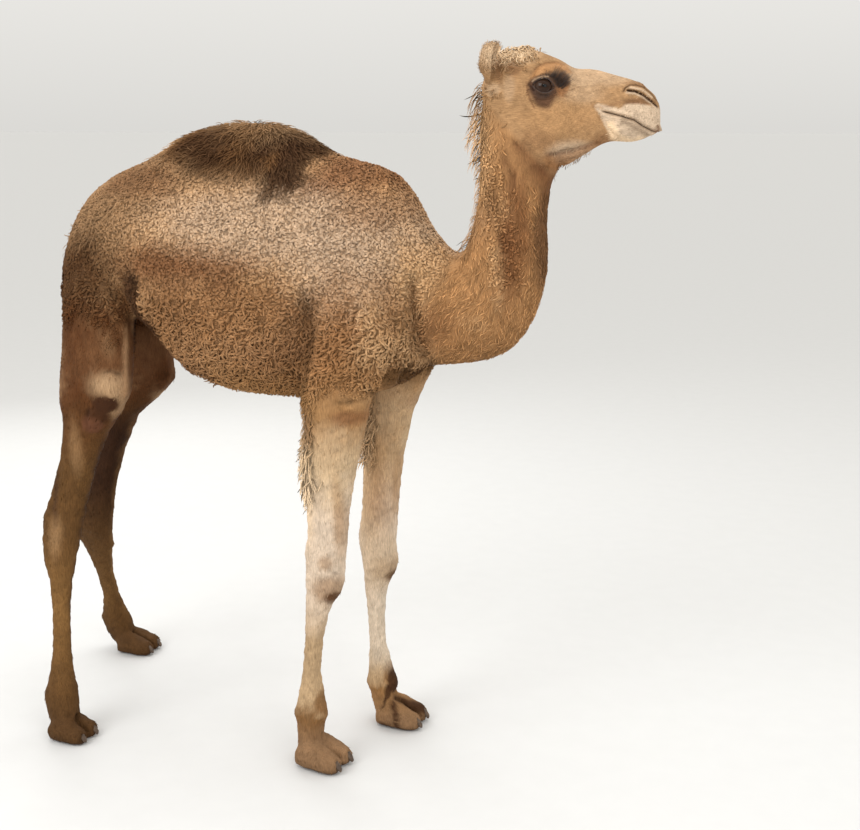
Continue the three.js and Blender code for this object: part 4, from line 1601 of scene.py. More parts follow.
class Face:
    """Shapes the fine skin of the head: sockets, lids, nostrils, lips and folds."""

    def refine(self, mesh: bpy.types.Mesh) -> None:
        """Splits the faces round the eyes, nostrils and mouth, so that they can hold fine shapes.

        Args:
            mesh: the skin.
        """
        for reach in (1.0, 0.62):
            local = self.sided(vertices_of(mesh))
            near = self.nearness(local) < reach
            fine = bmesh.new()
            fine.from_mesh(mesh)
            edges = [e for e in fine.edges if near[e.verts[0].index] and near[e.verts[1].index]]
            bmesh.ops.subdivide_edges(fine, edges=edges, cuts=1)
            bmesh.ops.triangulate(fine, faces=[f for f in fine.faces if len(f.verts) > 3])
            fine.to_mesh(mesh)
            fine.free()

    def sided(self, points: np.ndarray) -> np.ndarray:
        """Puts both sides of the head on one.

        Args:
            points: places in the row's frame.

        Returns:
            Each point's place along, out and up in the head's frame.
        """
        local = HEAD.inside(points)
        local[:, 1] = np.abs(local[:, 1])
        return local

    def nearness(self, local: np.ndarray) -> np.ndarray:
        """How near points are to the eye, the nostril or the mouth.

        Args:
            local: places in the head's frame.

        Returns:
            1 on the edge of the fine skin, less inside it.
        """
        own = SOCKET.inside(local)
        eye = np.linalg.norm(own / np.array([0.036, 0.027, 0.040]), axis=1)
        seen = local[:, [0, 2]]
        nostril, _, _ = near_line(NOSTRIL, seen)
        mouth, _, _ = near_line(MOUTH, seen)
        off = np.where(local[:, 1] > 0.006, 0.0, np.where(local[:, 0] > 0.31, 0.0, 9.0))
        return np.minimum(eye, np.minimum(nostril / 0.015, mouth / 0.009) + off)

    def shape(self, mesh: bpy.types.Mesh) -> None:
        """Gives the head its own shapes.

        Args:
            mesh: the skin.
        """
        self.trim_ears(mesh)
        self.swell(mesh)
        self.refine(mesh)
        self.furrow(mesh)
        self.split_lip(mesh)
        self.set_lids(mesh)

    def trim_ears(self, mesh: bpy.types.Mesh) -> None:
        """Makes the ears broader and blunter than the solids under them.

        Args:
            mesh: the skin.
        """
        points = vertices_of(mesh)
        local = HEAD.inside(points)
        share = ear_share(points)
        height = local[:, 2].copy()
        local[:, 2] -= share * (0.06 * np.maximum(height - 0.098, 0) + 0.45 * np.maximum(height - 0.140, 0))
        local[:, 0] += share * (local[:, 0] + 0.046) * (0.16 + 0.5 * rise(0.120, 0.145, height))
        put_vertices(mesh, HEAD.outside(local))

    def on_head(self, points: np.ndarray) -> np.ndarray:
        """Where the head's shapes show.

        Args:
            points: places in the row's frame.

        Returns:
            1 on the sides of the head and throat, 0 elsewhere and on the ears.
        """
        local = HEAD.inside(points)
        parts = Parts.of(points)
        side = rise(0.004, 0.016, np.abs(local[:, 1]))
        here = np.maximum(parts.head, parts.neck * rise(-0.21, -0.17, local[:, 2]))
        return here * np.maximum(side, rise(0.33, 0.345, local[:, 0])) * rise(0.115, 0.095, local[:, 2])

    def swell(self, mesh: bpy.types.Mesh) -> None:
        """Raises and hollows the soft places.

        Args:
            mesh: the skin.
        """
        points = vertices_of(mesh)
        local = self.sided(points)
        out = sum(
            s.out * hill(np.hypot(local[:, 0] - s.along, local[:, 2] - s.up), s.reach) for s in SWELLS
        )
        head = Parts.of(points).head
        chin = head * rise(0.20, 0.22, local[:, 0]) * rise(-0.055, -0.068, local[:, 2])
        nose = head * rise(0.13, 0.16, local[:, 0]) * rise(0.030, 0.045, local[:, 2])
        here = np.maximum(self.on_head(points), np.maximum(chin, nose))
        put_vertices(mesh, points + normals_of(mesh) * (out * here)[:, None])

    def furrow(self, mesh: bpy.types.Mesh) -> None:
        """Cuts the grooves of nostril, mouth and folds, and raises their edges.

        Args:
            mesh: the skin.
        """
        points = vertices_of(mesh)
        seen = self.sided(points)[:, [0, 2]]
        out = np.zeros(len(points))
        for groove in GROOVES:
            gap, share, _ = near_line(groove.line, seen)
            fade = rise(0.0, 0.12, share) * rise(1.0, 0.9, share)
            cut = groove.depth * hill(gap, groove.width)
            raised = groove.lip * hill(gap - 2.4 * groove.width, 1.2 * groove.width)
            out += (raised - cut) * fade
        fine = 0.0004 * ripple(points, 0.012, 5) * rise(0.03, 0.06, np.abs(seen[:, 0] - 0.05))
        put_vertices(mesh, points + normals_of(mesh) * ((out + fine) * self.on_head(points))[:, None])

    def split_lip(self, mesh: bpy.types.Mesh) -> None:
        """Splits the upper lip at the front, and lets it hang over a little.

        Args:
            mesh: the skin.
        """
        points = vertices_of(mesh)
        local = HEAD.inside(points)
        u, v, w = local.T
        front = rise(0.325, 0.342, u) * rise(-0.064, -0.052, w) * rise(0.012, -0.004, w)
        cut = 0.0034 * hill(v, 0.0024) * front
        gap = np.linalg.norm(local - np.array([0.346, 0.0, -0.054]), axis=1)
        points = relaxed(points, edges_of(mesh), rise(0.020, 0.012, gap), 12)
        forward = HEAD.turned([0.86, 0.0, -0.35])
        points = points + (0.0110 * hill(gap, 0.0090))[:, None] * forward - normals_of(mesh) * cut[:, None]
        put_vertices(mesh, points)

    def set_lids(self, mesh: bpy.types.Mesh) -> None:
        """Wraps the lids round the eyeballs and opens them.

        Args:
            mesh: the skin.
        """
        points = vertices_of(mesh)
        for side in SIDES.values():
            mirror = np.array([1.0, side, 1.0])
            own = SOCKET.inside(HEAD.inside(points) * mirror)
            radius = np.hypot(own[:, 0], own[:, 1])
            near = (radius < 0.042) & (own[:, 2] > 0.0)
            opening = SOCKET.opening(own)
            outer = SOCKET.ball + SOCKET.lid
            dome = np.sqrt(np.maximum(outer**2 - radius**2, 0.0))
            lid = own[:, 2] + np.maximum(dome - own[:, 2], 0.0) * rise(outer, outer - 0.003, radius)
            lid += 0.0012 * hill((opening - 1.18) * SOCKET.above, 0.0022)
            lid -= 0.0022 * hill((opening - 1.95) * SOCKET.above, 0.0022) * (own[:, 1] > 0)
            behind = np.sqrt(np.maximum(SOCKET.ball**2 - radius**2, 0.0)) - 0.003
            shut = np.where(radius < SOCKET.ball - 0.001, behind, lid - 0.0045)
            own[:, 2] = np.where(near, np.where(opening < 1.0, np.minimum(shut, lid), lid), own[:, 2])
            moved = HEAD.outside(SOCKET.outside(own) * mirror)
            points = np.where(near[:, None], moved, points)
        put_vertices(mesh, points)


@dataclass
class Eye:
    """One eyeball with its dark lid rim and lashes.

    Fields:
        side: which side of the head it is on.
        rings, spokes: how many rings and spokes of faces make the ball.
        iris: the iris's radius.
        pupil: half of the level pupil's length and height.
        upper_lashes, brow_lashes, lower_lashes: how many lashes there are of each kind.
    """

    side: str
    rings: int = 40
    spokes: int = 56
    iris: float = 0.0125
    pupil: tuple[float, float] = (0.0062, 0.0036)
    upper_lashes: int = 56
    brow_lashes: int = 64
    lower_lashes: int = 34

    @property
    def mirror(self) -> np.ndarray:
        """What turns the socket's frame to this side."""
        return np.array([1.0, SIDES[self.side], 1.0])

    def row(self, own: np.ndarray) -> np.ndarray:
        """Places of the eye's own frame, in the row's frame."""
        return HEAD.outside(SOCKET.outside(own) * self.mirror)

    def build(self, skin: bpy.types.Mesh) -> None:
        """Makes the eyeball, the rim and the lashes.

        Args:
            skin: the shaped skin.
        """
        ball = self.ball()
        finished(ball, EyeFinish().material())
        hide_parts(f"eye_{self.side}")
        corners = [tuple(face.vertices) for face in skin.polygons]
        tree = BVHTree.FromPolygons([tuple(point) for point in vertices_of(skin)], corners)
        finished(self.rim(tree), RimFinish().material())
        finished(self.lashes(tree), LashFinish().material())

    def ball(self) -> bpy.types.Object:
        """A globe with a raised cornea; it carries how far each point is from the pupil's middle.

        Returns:
            The globe.
        """
        turn = np.linspace(0, 2 * math.pi, self.spokes, endpoint=False)
        points, lean = [np.array([0, 0, 1.0])], [0.0]
        for polar in np.linspace(0, math.pi, self.rings + 1)[1:-1]:
            ring = np.stack([math.sin(polar) * np.cos(turn), math.sin(polar) * np.sin(turn),
                             np.full(self.spokes, math.cos(polar))], axis=1)
            points.extend(ring)
            lean.extend([polar] * self.spokes)
        points.append(np.array([0, 0, -1.0]))
        lean.append(math.pi)
        own = np.array(points)
        cornea = 0.0014 * hill(np.array(lean), 0.62)
        faces: list[tuple[int, ...]] = [(0, 1 + i, 1 + (i + 1) % self.spokes) for i in range(self.spokes)]
        last = len(points) - 1
        for r in range(self.rings - 2):
            for i in range(self.spokes):
                a, b = 1 + r * self.spokes + i, 1 + r * self.spokes + (i + 1) % self.spokes
                faces.append((a, a + self.spokes, b + self.spokes, b))
        base = last - self.spokes
        faces += [(last, base + (i + 1) % self.spokes, base + i) for i in range(self.spokes)]
        placed = self.row(own * (SOCKET.ball + cornea)[:, None])
        mesh = mesh_of(f"eyeball_{self.side}", placed, faces)
        flip_if_inside_out(mesh)
        flat = own * SOCKET.ball
        put_attribute(mesh, "from_iris", np.hypot(flat[:, 0], flat[:, 1]) / self.iris + 3 * (own[:, 2] < 0))
        put_attribute(mesh, "from_pupil", np.hypot(flat[:, 0] / self.pupil[0], flat[:, 1] / self.pupil[1]))
        return new_object(mesh.name, mesh)

    def on_lid(self, tree: BVHTree, flat: np.ndarray, sample: float) -> np.ndarray:
        """Places over the opening's edge, at the height of the lid's skin.

        Args:
            tree: the skin.
            flat: the places along and up.
            sample: how much further out the height is read.

        Returns:
            The places in the eye's own frame.
        """
        out = HEAD.turned(SOCKET.axes[2] * self.mirror)
        placed = []
        for x, y in flat:
            above = self.row(np.array([[x * sample, y * sample, 0.06]]))[0]
            hit, _, _, _ = tree.ray_cast(Vector(above), Vector(-out))
            height = 0.06 - (Vector(above) - hit).length if hit else SOCKET.ball
            placed.append((x, y, max(height, 0.0)))
        return np.array(placed)

    def rim(self, tree: BVHTree) -> bpy.types.Object:
        """The dark wet edge of both lids: a closed tube round the opening.

        Args:
            tree: the skin.

        Returns:
            The rim.
        """
        count, corners, thick = 96, 8, 0.0017
        edge = self.on_lid(tree, SOCKET.edge(np.linspace(0, 1, count, endpoint=False)), 1.16)
        heights = edge[:, 2]
        for _ in range(4):
            heights = (np.roll(heights, 1) + heights + np.roll(heights, -1)) / 3
        edge[:, 2] = heights - 0.0016
        way = unit(np.roll(edge, -1, axis=0) - np.roll(edge, 1, axis=0))
        out = np.tile([0.0, 0.0, 1.0], (count, 1))
        across = unit(np.cross(way, out))
        off = np.cross(across, way)
        turn = np.linspace(0, 2 * math.pi, corners, endpoint=False)
        rings = edge[:, None] + thick * (
            np.cos(turn)[None, :, None] * across[:, None] * 1.1 + np.sin(turn)[None, :, None] * off[:, None]
        )
        points = self.row(rings.reshape(-1, 3))
        faces = []
        for i in range(count):
            for j in range(corners):
                a, b = i * corners, ((i + 1) % count) * corners
                k = (j + 1) % corners
                faces.append((a + j, a + k, b + k, b + j))
        mesh = mesh_of(f"lid_rim_{self.side}", points, faces)
        flip_if_inside_out(mesh)
        return new_object(mesh.name, mesh)

    def lashes(self, tree: BVHTree) -> bpy.types.Object:
        """Long lashes on the upper lid and over it, and short ones on the lower.

        Args:
            tree: the skin.

        Returns:
            The lashes.
        """
        rng = np.random.default_rng(23)
        lines, widths = [], []
        t = np.linspace(0, 1, 6)[:, None]
        for count, first, last, length, up, above in (
            (self.upper_lashes, 0.04, 0.36, 0.018, 1.0, 1.05),
            (self.brow_lashes, -0.01, 0.19, 0.036, 1.0, 1.30),
            (self.lower_lashes, 0.95, 0.62, 0.008, -0.7, 1.05),
        ):
            shares = np.linspace(first, last, count) + rng.normal(0, 0.006, count)
            grown = above + rng.uniform(0.0, 0.3, count)
            roots = self.on_lid(tree, SOCKET.edge(np.mod(shares, 1.0), grown[:, None]), 1.0)
            for root in roots:
                fan = np.clip(root[0] / SOCKET.wide, -1.2, 1.4)
                way = unit(np.array([0.05 + 0.55 * fan, 0.95 * up, 0.30]) + rng.normal(0, 0.17, 3))
                long = length * rng.uniform(0.55, 1.1) * (0.25 + 0.75 * rise(-0.7, 0.5, np.array(fan)))
                curl = np.array([0.16 * fan, 0.12 * up, -0.10]) * long
                lines.append(root - np.array([0, 0, 0.0015]) + way * long * t + curl * t * t)
                widths.append(rng.uniform(0.0004, 0.0006))
        mesh = hairs(f"lashes_{self.side}", [self.row(line) for line in lines], widths)
        return new_object(mesh.name, mesh)


def flip_if_inside_out(mesh: bpy.types.Mesh) -> None:
    """Turns the faces of a closed mesh outwards.

    Args:
        mesh: the mesh.
    """
    closed = bmesh.new()
    closed.from_mesh(mesh)
    bmesh.ops.recalc_face_normals(closed, faces=closed.faces)
    if closed.calc_volume(signed=True) < 0:
        bmesh.ops.reverse_faces(closed, faces=closed.faces)
    closed.to_mesh(mesh)
    closed.free()


def hairs(name: str, lines: list[np.ndarray], widths: list[float]) -> bpy.types.Mesh:
    """Closed three-cornered hairs, thin at the tip.

    Args:
        name: the mesh's name.
        lines: the line that each hair follows.
        widths: each hair's width.

    Returns:
        One mesh with all of them.
    """
    points, faces = [], []
    for line, width in zip(lines, widths):
        start, count = len(points), len(line)
        way = unit(np.gradient(line, axis=0))
        side = unit(np.cross(way, UP + 0.01))
        off = np.cross(side, way)
        taper = width * (1.05 - np.linspace(0, 1, count) ** 2)[:, None]
        for i in range(count):
            for turn in (0, 2 * math.pi / 3, 4 * math.pi / 3):
                points.append(line[i] + taper[i] * (math.cos(turn) * side[i] + math.sin(turn) * off[i]))
        for i in range(count - 1):
            for j in range(3):
                a, k = start + 3 * i, (j + 1) % 3
                faces.append((a + j, a + 3 + j, a + 3 + k, a + k))
        faces.append((start, start + 1, start + 2))
        end = start + 3 * (count - 1)
        faces.append((end + 2, end + 1, end))
    mesh = mesh_of(name, np.array(points), faces)
    flip_if_inside_out(mesh)
    return mesh


@dataclass
class Claw:
    """One claw: the frame's claw, rounded and ribbed."""

    node: str

    def build(self) -> None:
        """Makes the claw and dresses it."""
        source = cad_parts[self.node]
        round_one = bmesh.new()
        round_one.from_mesh(source.data)
        bmesh.ops.remove_doubles(round_one, verts=round_one.verts, dist=1e-5)
        mesh = bpy.data.meshes.new(self.node)
        round_one.to_mesh(mesh)
        round_one.free()
        helper = new_object("claw", mesh)
        soft = helper.modifiers.new("round", "SUBSURF")
        soft.levels = soft.render_levels = 2
        made = evaluated(helper)
        discard(helper)
        points = vertices_of(made)
        rib = 0.0004 * np.sin(points[:, 0] * 2 * math.pi / 0.006)
        put_vertices(made, points + normals_of(made) * (0.0012 + rib)[:, None])
        made.polygons.foreach_set("use_smooth", np.ones(len(made.polygons), bool))
        made.name = f"horn_{self.node}"
        piece = finished(new_object(made.name, made), HornFinish().material())
        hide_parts(self.node)


# ---- markings -----------------------------------------------------------------------------------


@dataclass(frozen=True)
class Marking:
    """A soft-edged patch of another colour.

    Fields:
        colour: the patch's colour.
        centre: its middle, in the frame `place`, or the row's frame where that is None.
        radii: how far it reaches along each axis; its edge is at 1.
        strength: how much of it shows at the middle.
        edge: how wide its soft edge is, as a share of its reach.
        place: the frame that the centre and the radii are given in.
    """

    colour: tuple[float, float, float]
    centre: tuple[float, float, float]
    radii: tuple[float, float, float]
    strength: float = 1.0
    edge: float = 0.6
    place: Place | None = None

    def share(self, points: np.ndarray, wander: np.ndarray) -> np.ndarray:
        """How much of the patch shows.

        Args:
            points: places in the row's frame.
            wander: how far its edge moves in at each point.

        Returns:
            A share for each point.
        """
        local = self.place.inside(points) if self.place else points
        reach = np.linalg.norm((local - np.array(self.centre)) / np.array(self.radii), axis=1)
        return self.strength * rise(1 + self.edge / 2, 1 - self.edge / 2, reach + 0.20 * wander)


WOOL_TAN = linear(183, 146, 107)
WOOL_PALE = linear(178, 152, 127)
WOOL_GOLD = linear(142, 102, 67)
WOOL_BROWN = linear(121, 83, 55)
CROWN_PALE = linear(236, 205, 167)
RUMP_BROWN = linear(71, 45, 25)
# a dim brown: painted shade in folds, behind the elbows and in the creases by the eyes; elsewhere it darkens
# patches of the flank and the neck's front, and speckles the lips
DUSK = linear(104, 73, 50)
DARK = linear(66, 44, 29)
HUMP_DARK = linear(73, 50, 33)
HUMP_MID = linear(117, 82, 50)
NECK_GOLD = linear(171, 128, 86)
NECK_BROWN = linear(125, 83, 52)
HEAD_TAN = linear(166, 129, 91)
CREAM = linear(196, 166, 134)
LIP_CREAM = linear(209, 184, 157)
FORELEG_MILK = linear(208, 187, 165)
FORELEG_PALE = linear(194, 167, 133)
FORELEG_TAN = linear(155, 115, 73)
FETLOCK_TAN = linear(124, 89, 54)
HINDLEG_TAN = linear(125, 91, 52)
HINDLEG_LOW = linear(92, 64, 35)
HINDLEG_PALE = linear(150, 116, 80)
HINDLEG_DARK = linear(47, 27, 15)
FOOT_TAN = linear(134, 103, 74)
CALLUS = linear(62, 36, 19)
# painted shade down in the slits of the nostrils and the mouth, and in the lids' folds
SLIT_AND_FOLD_SHADE = linear(40, 24, 19)
LIP_SHADE = linear(117, 95, 74)
# a red brown: the stifle's own callus, and painted shade in the folds of the head and throat and under the
# nostrils
CALLUS_RED_AND_FOLD_SHADE = linear(96, 60, 40)
STAIN = linear(66, 42, 25)
KNEE_TAN = linear(136, 100, 64)
KNEE_DARK = linear(88, 58, 36)
CHEST_DARK = linear(50, 29, 17)
HINDFOOT = linear(81, 56, 32)
STIFLE_PALE = linear(170, 138, 104)
HIP = linear(135, 105, 76)
CHEEK_GOLD = linear(188, 143, 97)
THIGH = linear(83, 48, 23)
CANNON = linear(174, 146, 112)
NAPE_PALE = linear(206, 164, 119)
STREAK_PALE = linear(206, 166, 122)
STREAK_DARK = linear(92, 58, 34)
JAW_GREY = linear(194, 169, 142)
PALEST = linear(216, 200, 180)
EDGE_PALE = linear(176, 138, 102)
JAW_SHADE = linear(150, 106, 68)
BROW_GOLD = linear(172, 124, 80)
ORBIT_BROWN = linear(83, 56, 42)
CORNER_GOLD = linear(160, 112, 74)
LID_GREY = linear(76, 58, 48)
LASH_SHADE = linear(84, 62, 48)
WIDE = 0.8  # a patch this wide across the body shows on both flanks alike


def across(
    colour: tuple[float, float, float], centre: tuple[float, float], radii: tuple[float, float],
    strength: float, edge: float = 1.0, place: Place | None = None,
) -> Marking:
    """A patch that shows on both sides alike.

    Args:
        colour: its colour.
        centre: its middle, along the body and up.
        radii: how far it reaches along and up.
        strength: how much of it shows at the middle.
        edge: how wide its soft edge is.
        place: the frame that it is given in.

    Returns:
        The patch.
    """
    return Marking(colour, (centre[0], 0.0, centre[1]), (radii[0], WIDE, radii[1]), strength, edge, place)


BODY_PATCHES = (
    across(WOOL_PALE, (0.02, 1.375), (0.34, 0.105), 0.85),
    across(HIP, (-0.14, 1.485), (0.20, 0.045), 0.65),
    across(WOOL_PALE, (0.16, 1.27), (0.12, 0.16), 0.80),
    across(HIP, (-0.53, 1.38), (0.20, 0.15), 0.8),
    across(HIP, (-0.36, 1.49), (0.15, 0.055), 0.85),
    across(WOOL_GOLD, (-0.10, 1.10), (0.42, 0.17), 0.85, 0.8),
    across(WOOL_BROWN, (-0.26, 1.275), (0.15, 0.050), 0.95),
    across(WOOL_BROWN, (-0.12, 1.280), (0.10, 0.035), 0.35),
    across(DUSK, (-0.27, 1.235), (0.17, 0.10), 0.30),
    across(EDGE_PALE, (-0.10, 1.03), (0.22, 0.08), 0.30),
    across(WOOL_BROWN, (0.04, 1.02), (0.14, 0.07), 0.35, 0.9),
    across(RUMP_BROWN, (-0.58, 1.19), (0.14, 0.13), 0.75),
    across(RUMP_BROWN, (-0.47, 1.21), (0.10, 0.10), 0.60),
    # painted shade on the back of the rump, which turns away from the light
    across(RUMP_BROWN, (-0.76, 1.16), (0.19, 0.22), 0.95),
    across(THIGH, (-0.50, 1.02), (0.17, 0.13), 0.90, 0.9),
    across(WOOL_BROWN, (-0.40, 1.465), (0.14, 0.040), 0.45),
    # painted shade behind and under the elbows
    across(DUSK, (0.098, 1.10), (0.040, 0.11), 0.30),
    across(DUSK, (0.060, 1.02), (0.060, 0.06), 0.35),
    across(WOOL_GOLD, (0.20, 1.06), (0.08, 0.09), 0.8, 0.8),
    # painted shade in the fold between flank and thigh, and in the groin
    across(DARK, (-0.370, 1.19), (0.028, 0.08), 0.90, 0.9),
    across(DARK, (-0.350, 1.10), (0.045, 0.055), 0.85, 0.9),
    Marking(DARK, (-0.385, 0.0, 1.11), (0.085, 0.170, 0.075), 0.95, 0.5),
    Marking(WOOL_BROWN, (-0.55, 0.10, 0.95), (0.12, 0.08, 0.08), 0.80, 1.0),
    # painted shade under the chest
    Marking(CHEST_DARK, (0.30, 0, 0.985), (0.12, 0.13, 0.060), 0.98, 0.7),
    across(WOOL_TAN, (0.29, 1.085), (0.05, 0.045), 0.80),
    across(WOOL_BROWN, (0.19, 1.50), (0.12, 0.05), 0.85),
    across(WOOL_BROWN, (0.10, 1.49), (0.08, 0.06), 0.30),
    across(WOOL_GOLD, (0.24, 1.43), (0.09, 0.06), 0.55),
    across(HUMP_MID, (-0.12, 1.62), (0.28, 0.120), 0.95, 0.6),
    across(HUMP_DARK, (-0.215, 1.558), (0.085, 0.060), 0.88),
    across(HUMP_DARK, (-0.010, 1.555), (0.085, 0.075), 0.95, 0.9),
    across(HUMP_DARK, (-0.008, 1.475), (0.028, 0.050), 0.80),
    across(HUMP_DARK, (0.030, 1.480), (0.022, 0.050), 0.80),
    across(HUMP_MID, (-0.030, 1.527), (0.012, 0.022), 0.8),
    Marking(WOOL_TAN, (-0.04, 0, 1.665), (0.24, 0.12, 0.080), 0.7, 1.0),
    # painted shade in the fold where the neck meets the chest
    across(DUSK, (0.345, 1.13), (0.014, 0.12), 0.15),
    across(NECK_BROWN, (0.245, 1.27), (0.022, 0.09), 0.6, place=NECK),
    across(NECK_BROWN, (0.09, 1.14), (0.05, 0.06), 0.42, place=NECK),
    across(NECK_BROWN, (0.27, 1.36), (0.03, 0.13), 0.75, place=NECK),
    Marking(DUSK, (0.335, 0, 1.37), (0.042, 0.060, 0.17), 0.80, 1.0, NECK),
)

# Lines on the body's right flank, and the same on its left: places, width, strength and colour. The pale one
# along the thigh's front edge is a painted highlight on the ridge there.
BODY_LINES = (
    (((-0.383, -0.215, 1.176), (-0.412, -0.190, 1.130), (-0.423, -0.178, 1.092), (-0.422, -0.187, 1.017),
      (-0.424, -0.193, 0.953), (-0.424, -0.197, 0.900)), 0.0085, 0.80, EDGE_PALE),
)
# Streaks on both sides of the neck, in its own frame: places, width, strength and colour.
NECK_LINES = (
    (((0.214, 1.335), (0.222, 1.304), (0.230, 1.243), (0.238, 1.205), (0.225, 1.175)),
     0.0100, 0.60, STREAK_PALE),
    (((0.226, 1.352), (0.248, 1.328), (0.253, 1.280), (0.266, 1.237), (0.256, 1.213)),
     0.0110, 0.40, STREAK_DARK),
    (((0.196, 1.500), (0.212, 1.450), (0.222, 1.400)), 0.0160, 0.45, STREAK_DARK),
    (((0.240, 1.440), (0.248, 1.400)), 0.0120, 0.40, STREAK_PALE),
    (((0.140, 1.160), (0.175, 1.150), (0.205, 1.135)), 0.0120, 0.40, STREAK_PALE),
)
CURLED_STRIP = ((0.186, 1.520), (0.197, 1.455), (0.224, 1.398), (0.243, 1.333), (0.250, 1.266),
                (0.252, 1.215))
# Where a stain runs down the front of the left forefoot, and along its outer toe: places and width.
STAIN_LINES = (
    (((0.186, 0.095, 0.100), (0.196, 0.088, 0.078), (0.206, 0.070, 0.062), (0.218, 0.056, 0.041),
      (0.220, 0.057, 0.010)), 0.0078),
    (((0.200, 0.118, 0.066), (0.234, 0.130, 0.047), (0.262, 0.147, 0.033)), 0.0150),
)

# Lines seen from the head's side: places, width, strength and colour. The dark lines in the nostril, along
# the mouth and under the upper lip, at the eyes' corners and creases, over the brow, and in the folds of jaw
# and throat are painted shade in those slits and folds.
HEAD_LINES = (
    (((0.262, 0.0295), (0.286, 0.0275), (0.305, 0.0190), (0.326, 0.0040), (0.337, -0.0070)),
     0.0030, 0.8, LIP_CREAM),
    (((0.270, 0.0400), (0.290, 0.0385), (0.308, 0.0320), (0.326, 0.0180)), 0.0028, 0.7, LIP_CREAM),
    (((0.196, -0.006), (0.204, -0.002), (0.212, -0.008)), 0.0030, 0.9, CREAM),
    (((0.0395, 0.0478), (0.0460, 0.0440), (0.0540, 0.0330)), 0.0034, 0.75, SLIT_AND_FOLD_SHADE),
    (((0.0400, 0.0490), (0.0520, 0.0545), (0.0640, 0.0600)), 0.0020, 0.55, SLIT_AND_FOLD_SHADE),
    (((0.0479, 0.0512), (0.0575, 0.0586), (0.0702, 0.0627), (0.0877, 0.064)), 0.0018, 0.5, CREAM),
    (((0.0361, 0.0563), (0.0393, 0.034), (0.0463, 0.0117), (0.0559, -0.0058)), 0.0020, 0.6, CALLUS_RED_AND_FOLD_SHADE),
    (((0.0438, 0.0653), (0.0591, 0.0844), (0.0798, 0.0952), (0.1069, 0.0977), (0.1228, 0.092)),
     0.0022, 0.35, CALLUS_RED_AND_FOLD_SHADE),
    (((0.11, 0.0324), (0.1291, 0.0309), (0.161, 0.042)), 0.0012, 0.5, DUSK),
    (((0.11, 0.0229), (0.126, 0.0181), (0.1419, 0.0229)), 0.0012, 0.4, DUSK),
    (((0.0973, 0.0627), (0.1196, 0.0404), (0.1291, 0.0181)), 0.0014, 0.4, DUSK),
    (THROAT_FOLD, 0.0090, 0.60, CALLUS_RED_AND_FOLD_SHADE),
    (FRONT_THROAT_FOLD, 0.0080, 0.50, CALLUS_RED_AND_FOLD_SHADE),
    (REAR_THROAT_FOLD, 0.0080, 0.50, CALLUS_RED_AND_FOLD_SHADE),
    (JAW_FOLD, 0.0050, 0.45, CALLUS_RED_AND_FOLD_SHADE),
    (((0.1865, -0.0004), (0.2024, -0.0058), (0.2247, -0.0026), (0.2534, 0.007)), 0.0030, 0.35, CALLUS_RED_AND_FOLD_SHADE),
    (NOSTRIL, 0.0026, 0.98, SLIT_AND_FOLD_SHADE),
    (NOSTRIL_FOLD, 0.0020, 0.65, SLIT_AND_FOLD_SHADE),
    (((0.2534, -0.0313), (0.2788, -0.044), (0.3011, -0.0567), (0.3171, -0.0663)), 0.0080, 0.50, LIP_SHADE),
    (MOUTH, 0.0022, 0.75, LIP_SHADE),
    (MOUTH, 0.0011, 0.80, SLIT_AND_FOLD_SHADE),
    (((0.3409, -0.044), (0.3457, -0.0551), (0.3409, -0.0631)), 0.0050, 0.75, WOOL_BROWN),
)

HEAD_PATCHES = (
    across(CREAM, (0.195, 0.070), (0.105, 0.026), 0.65, place=HEAD),
    across(CREAM, (0.165, 0.030), (0.05, 0.026), 0.45, place=HEAD),
    across(CROWN_PALE, (-0.005, 0.114), (0.058, 0.022), 0.85, place=HEAD),
    across(CREAM, (-0.048, 0.112), (0.022, 0.034), 0.55, place=HEAD),
    across(CREAM, (-0.003, 0.038), (0.013, 0.030), 0.40, place=HEAD),
    across(CREAM, (-0.040, 0.036), (0.018, 0.013), 0.55, place=HEAD),
    across(WOOL_BROWN, (0.008, 0.083), (0.016, 0.018), 0.55, place=HEAD),
    across(WOOL_BROWN, (-0.026, 0.080), (0.008, 0.028), 0.50, place=HEAD),
    across(NECK_BROWN, (0.066, -0.080), (0.042, 0.028), 0.30, place=HEAD),
    # painted shade on the throat under the jaw
    across(NECK_BROWN, (0.105, -0.165), (0.060, 0.045), 0.70, 0.9, place=HEAD),
    across(NECK_BROWN, (0.225, -0.078), (0.030, 0.016), 0.45, place=HEAD),
    across(CHEEK_GOLD, (0.12, -0.030), (0.090, 0.034), 0.45, place=HEAD),
    across(JAW_GREY, (0.150, -0.108), (0.055, 0.024), 0.75, place=HEAD),
    across(CALLUS_RED_AND_FOLD_SHADE, (0.297, 0.008), (0.036, 0.0085), 0.55, 0.9, place=HEAD),
    across(WOOL_BROWN, (0.310, 0.050), (0.040, 0.010), 0.45, 0.8, place=HEAD),
)


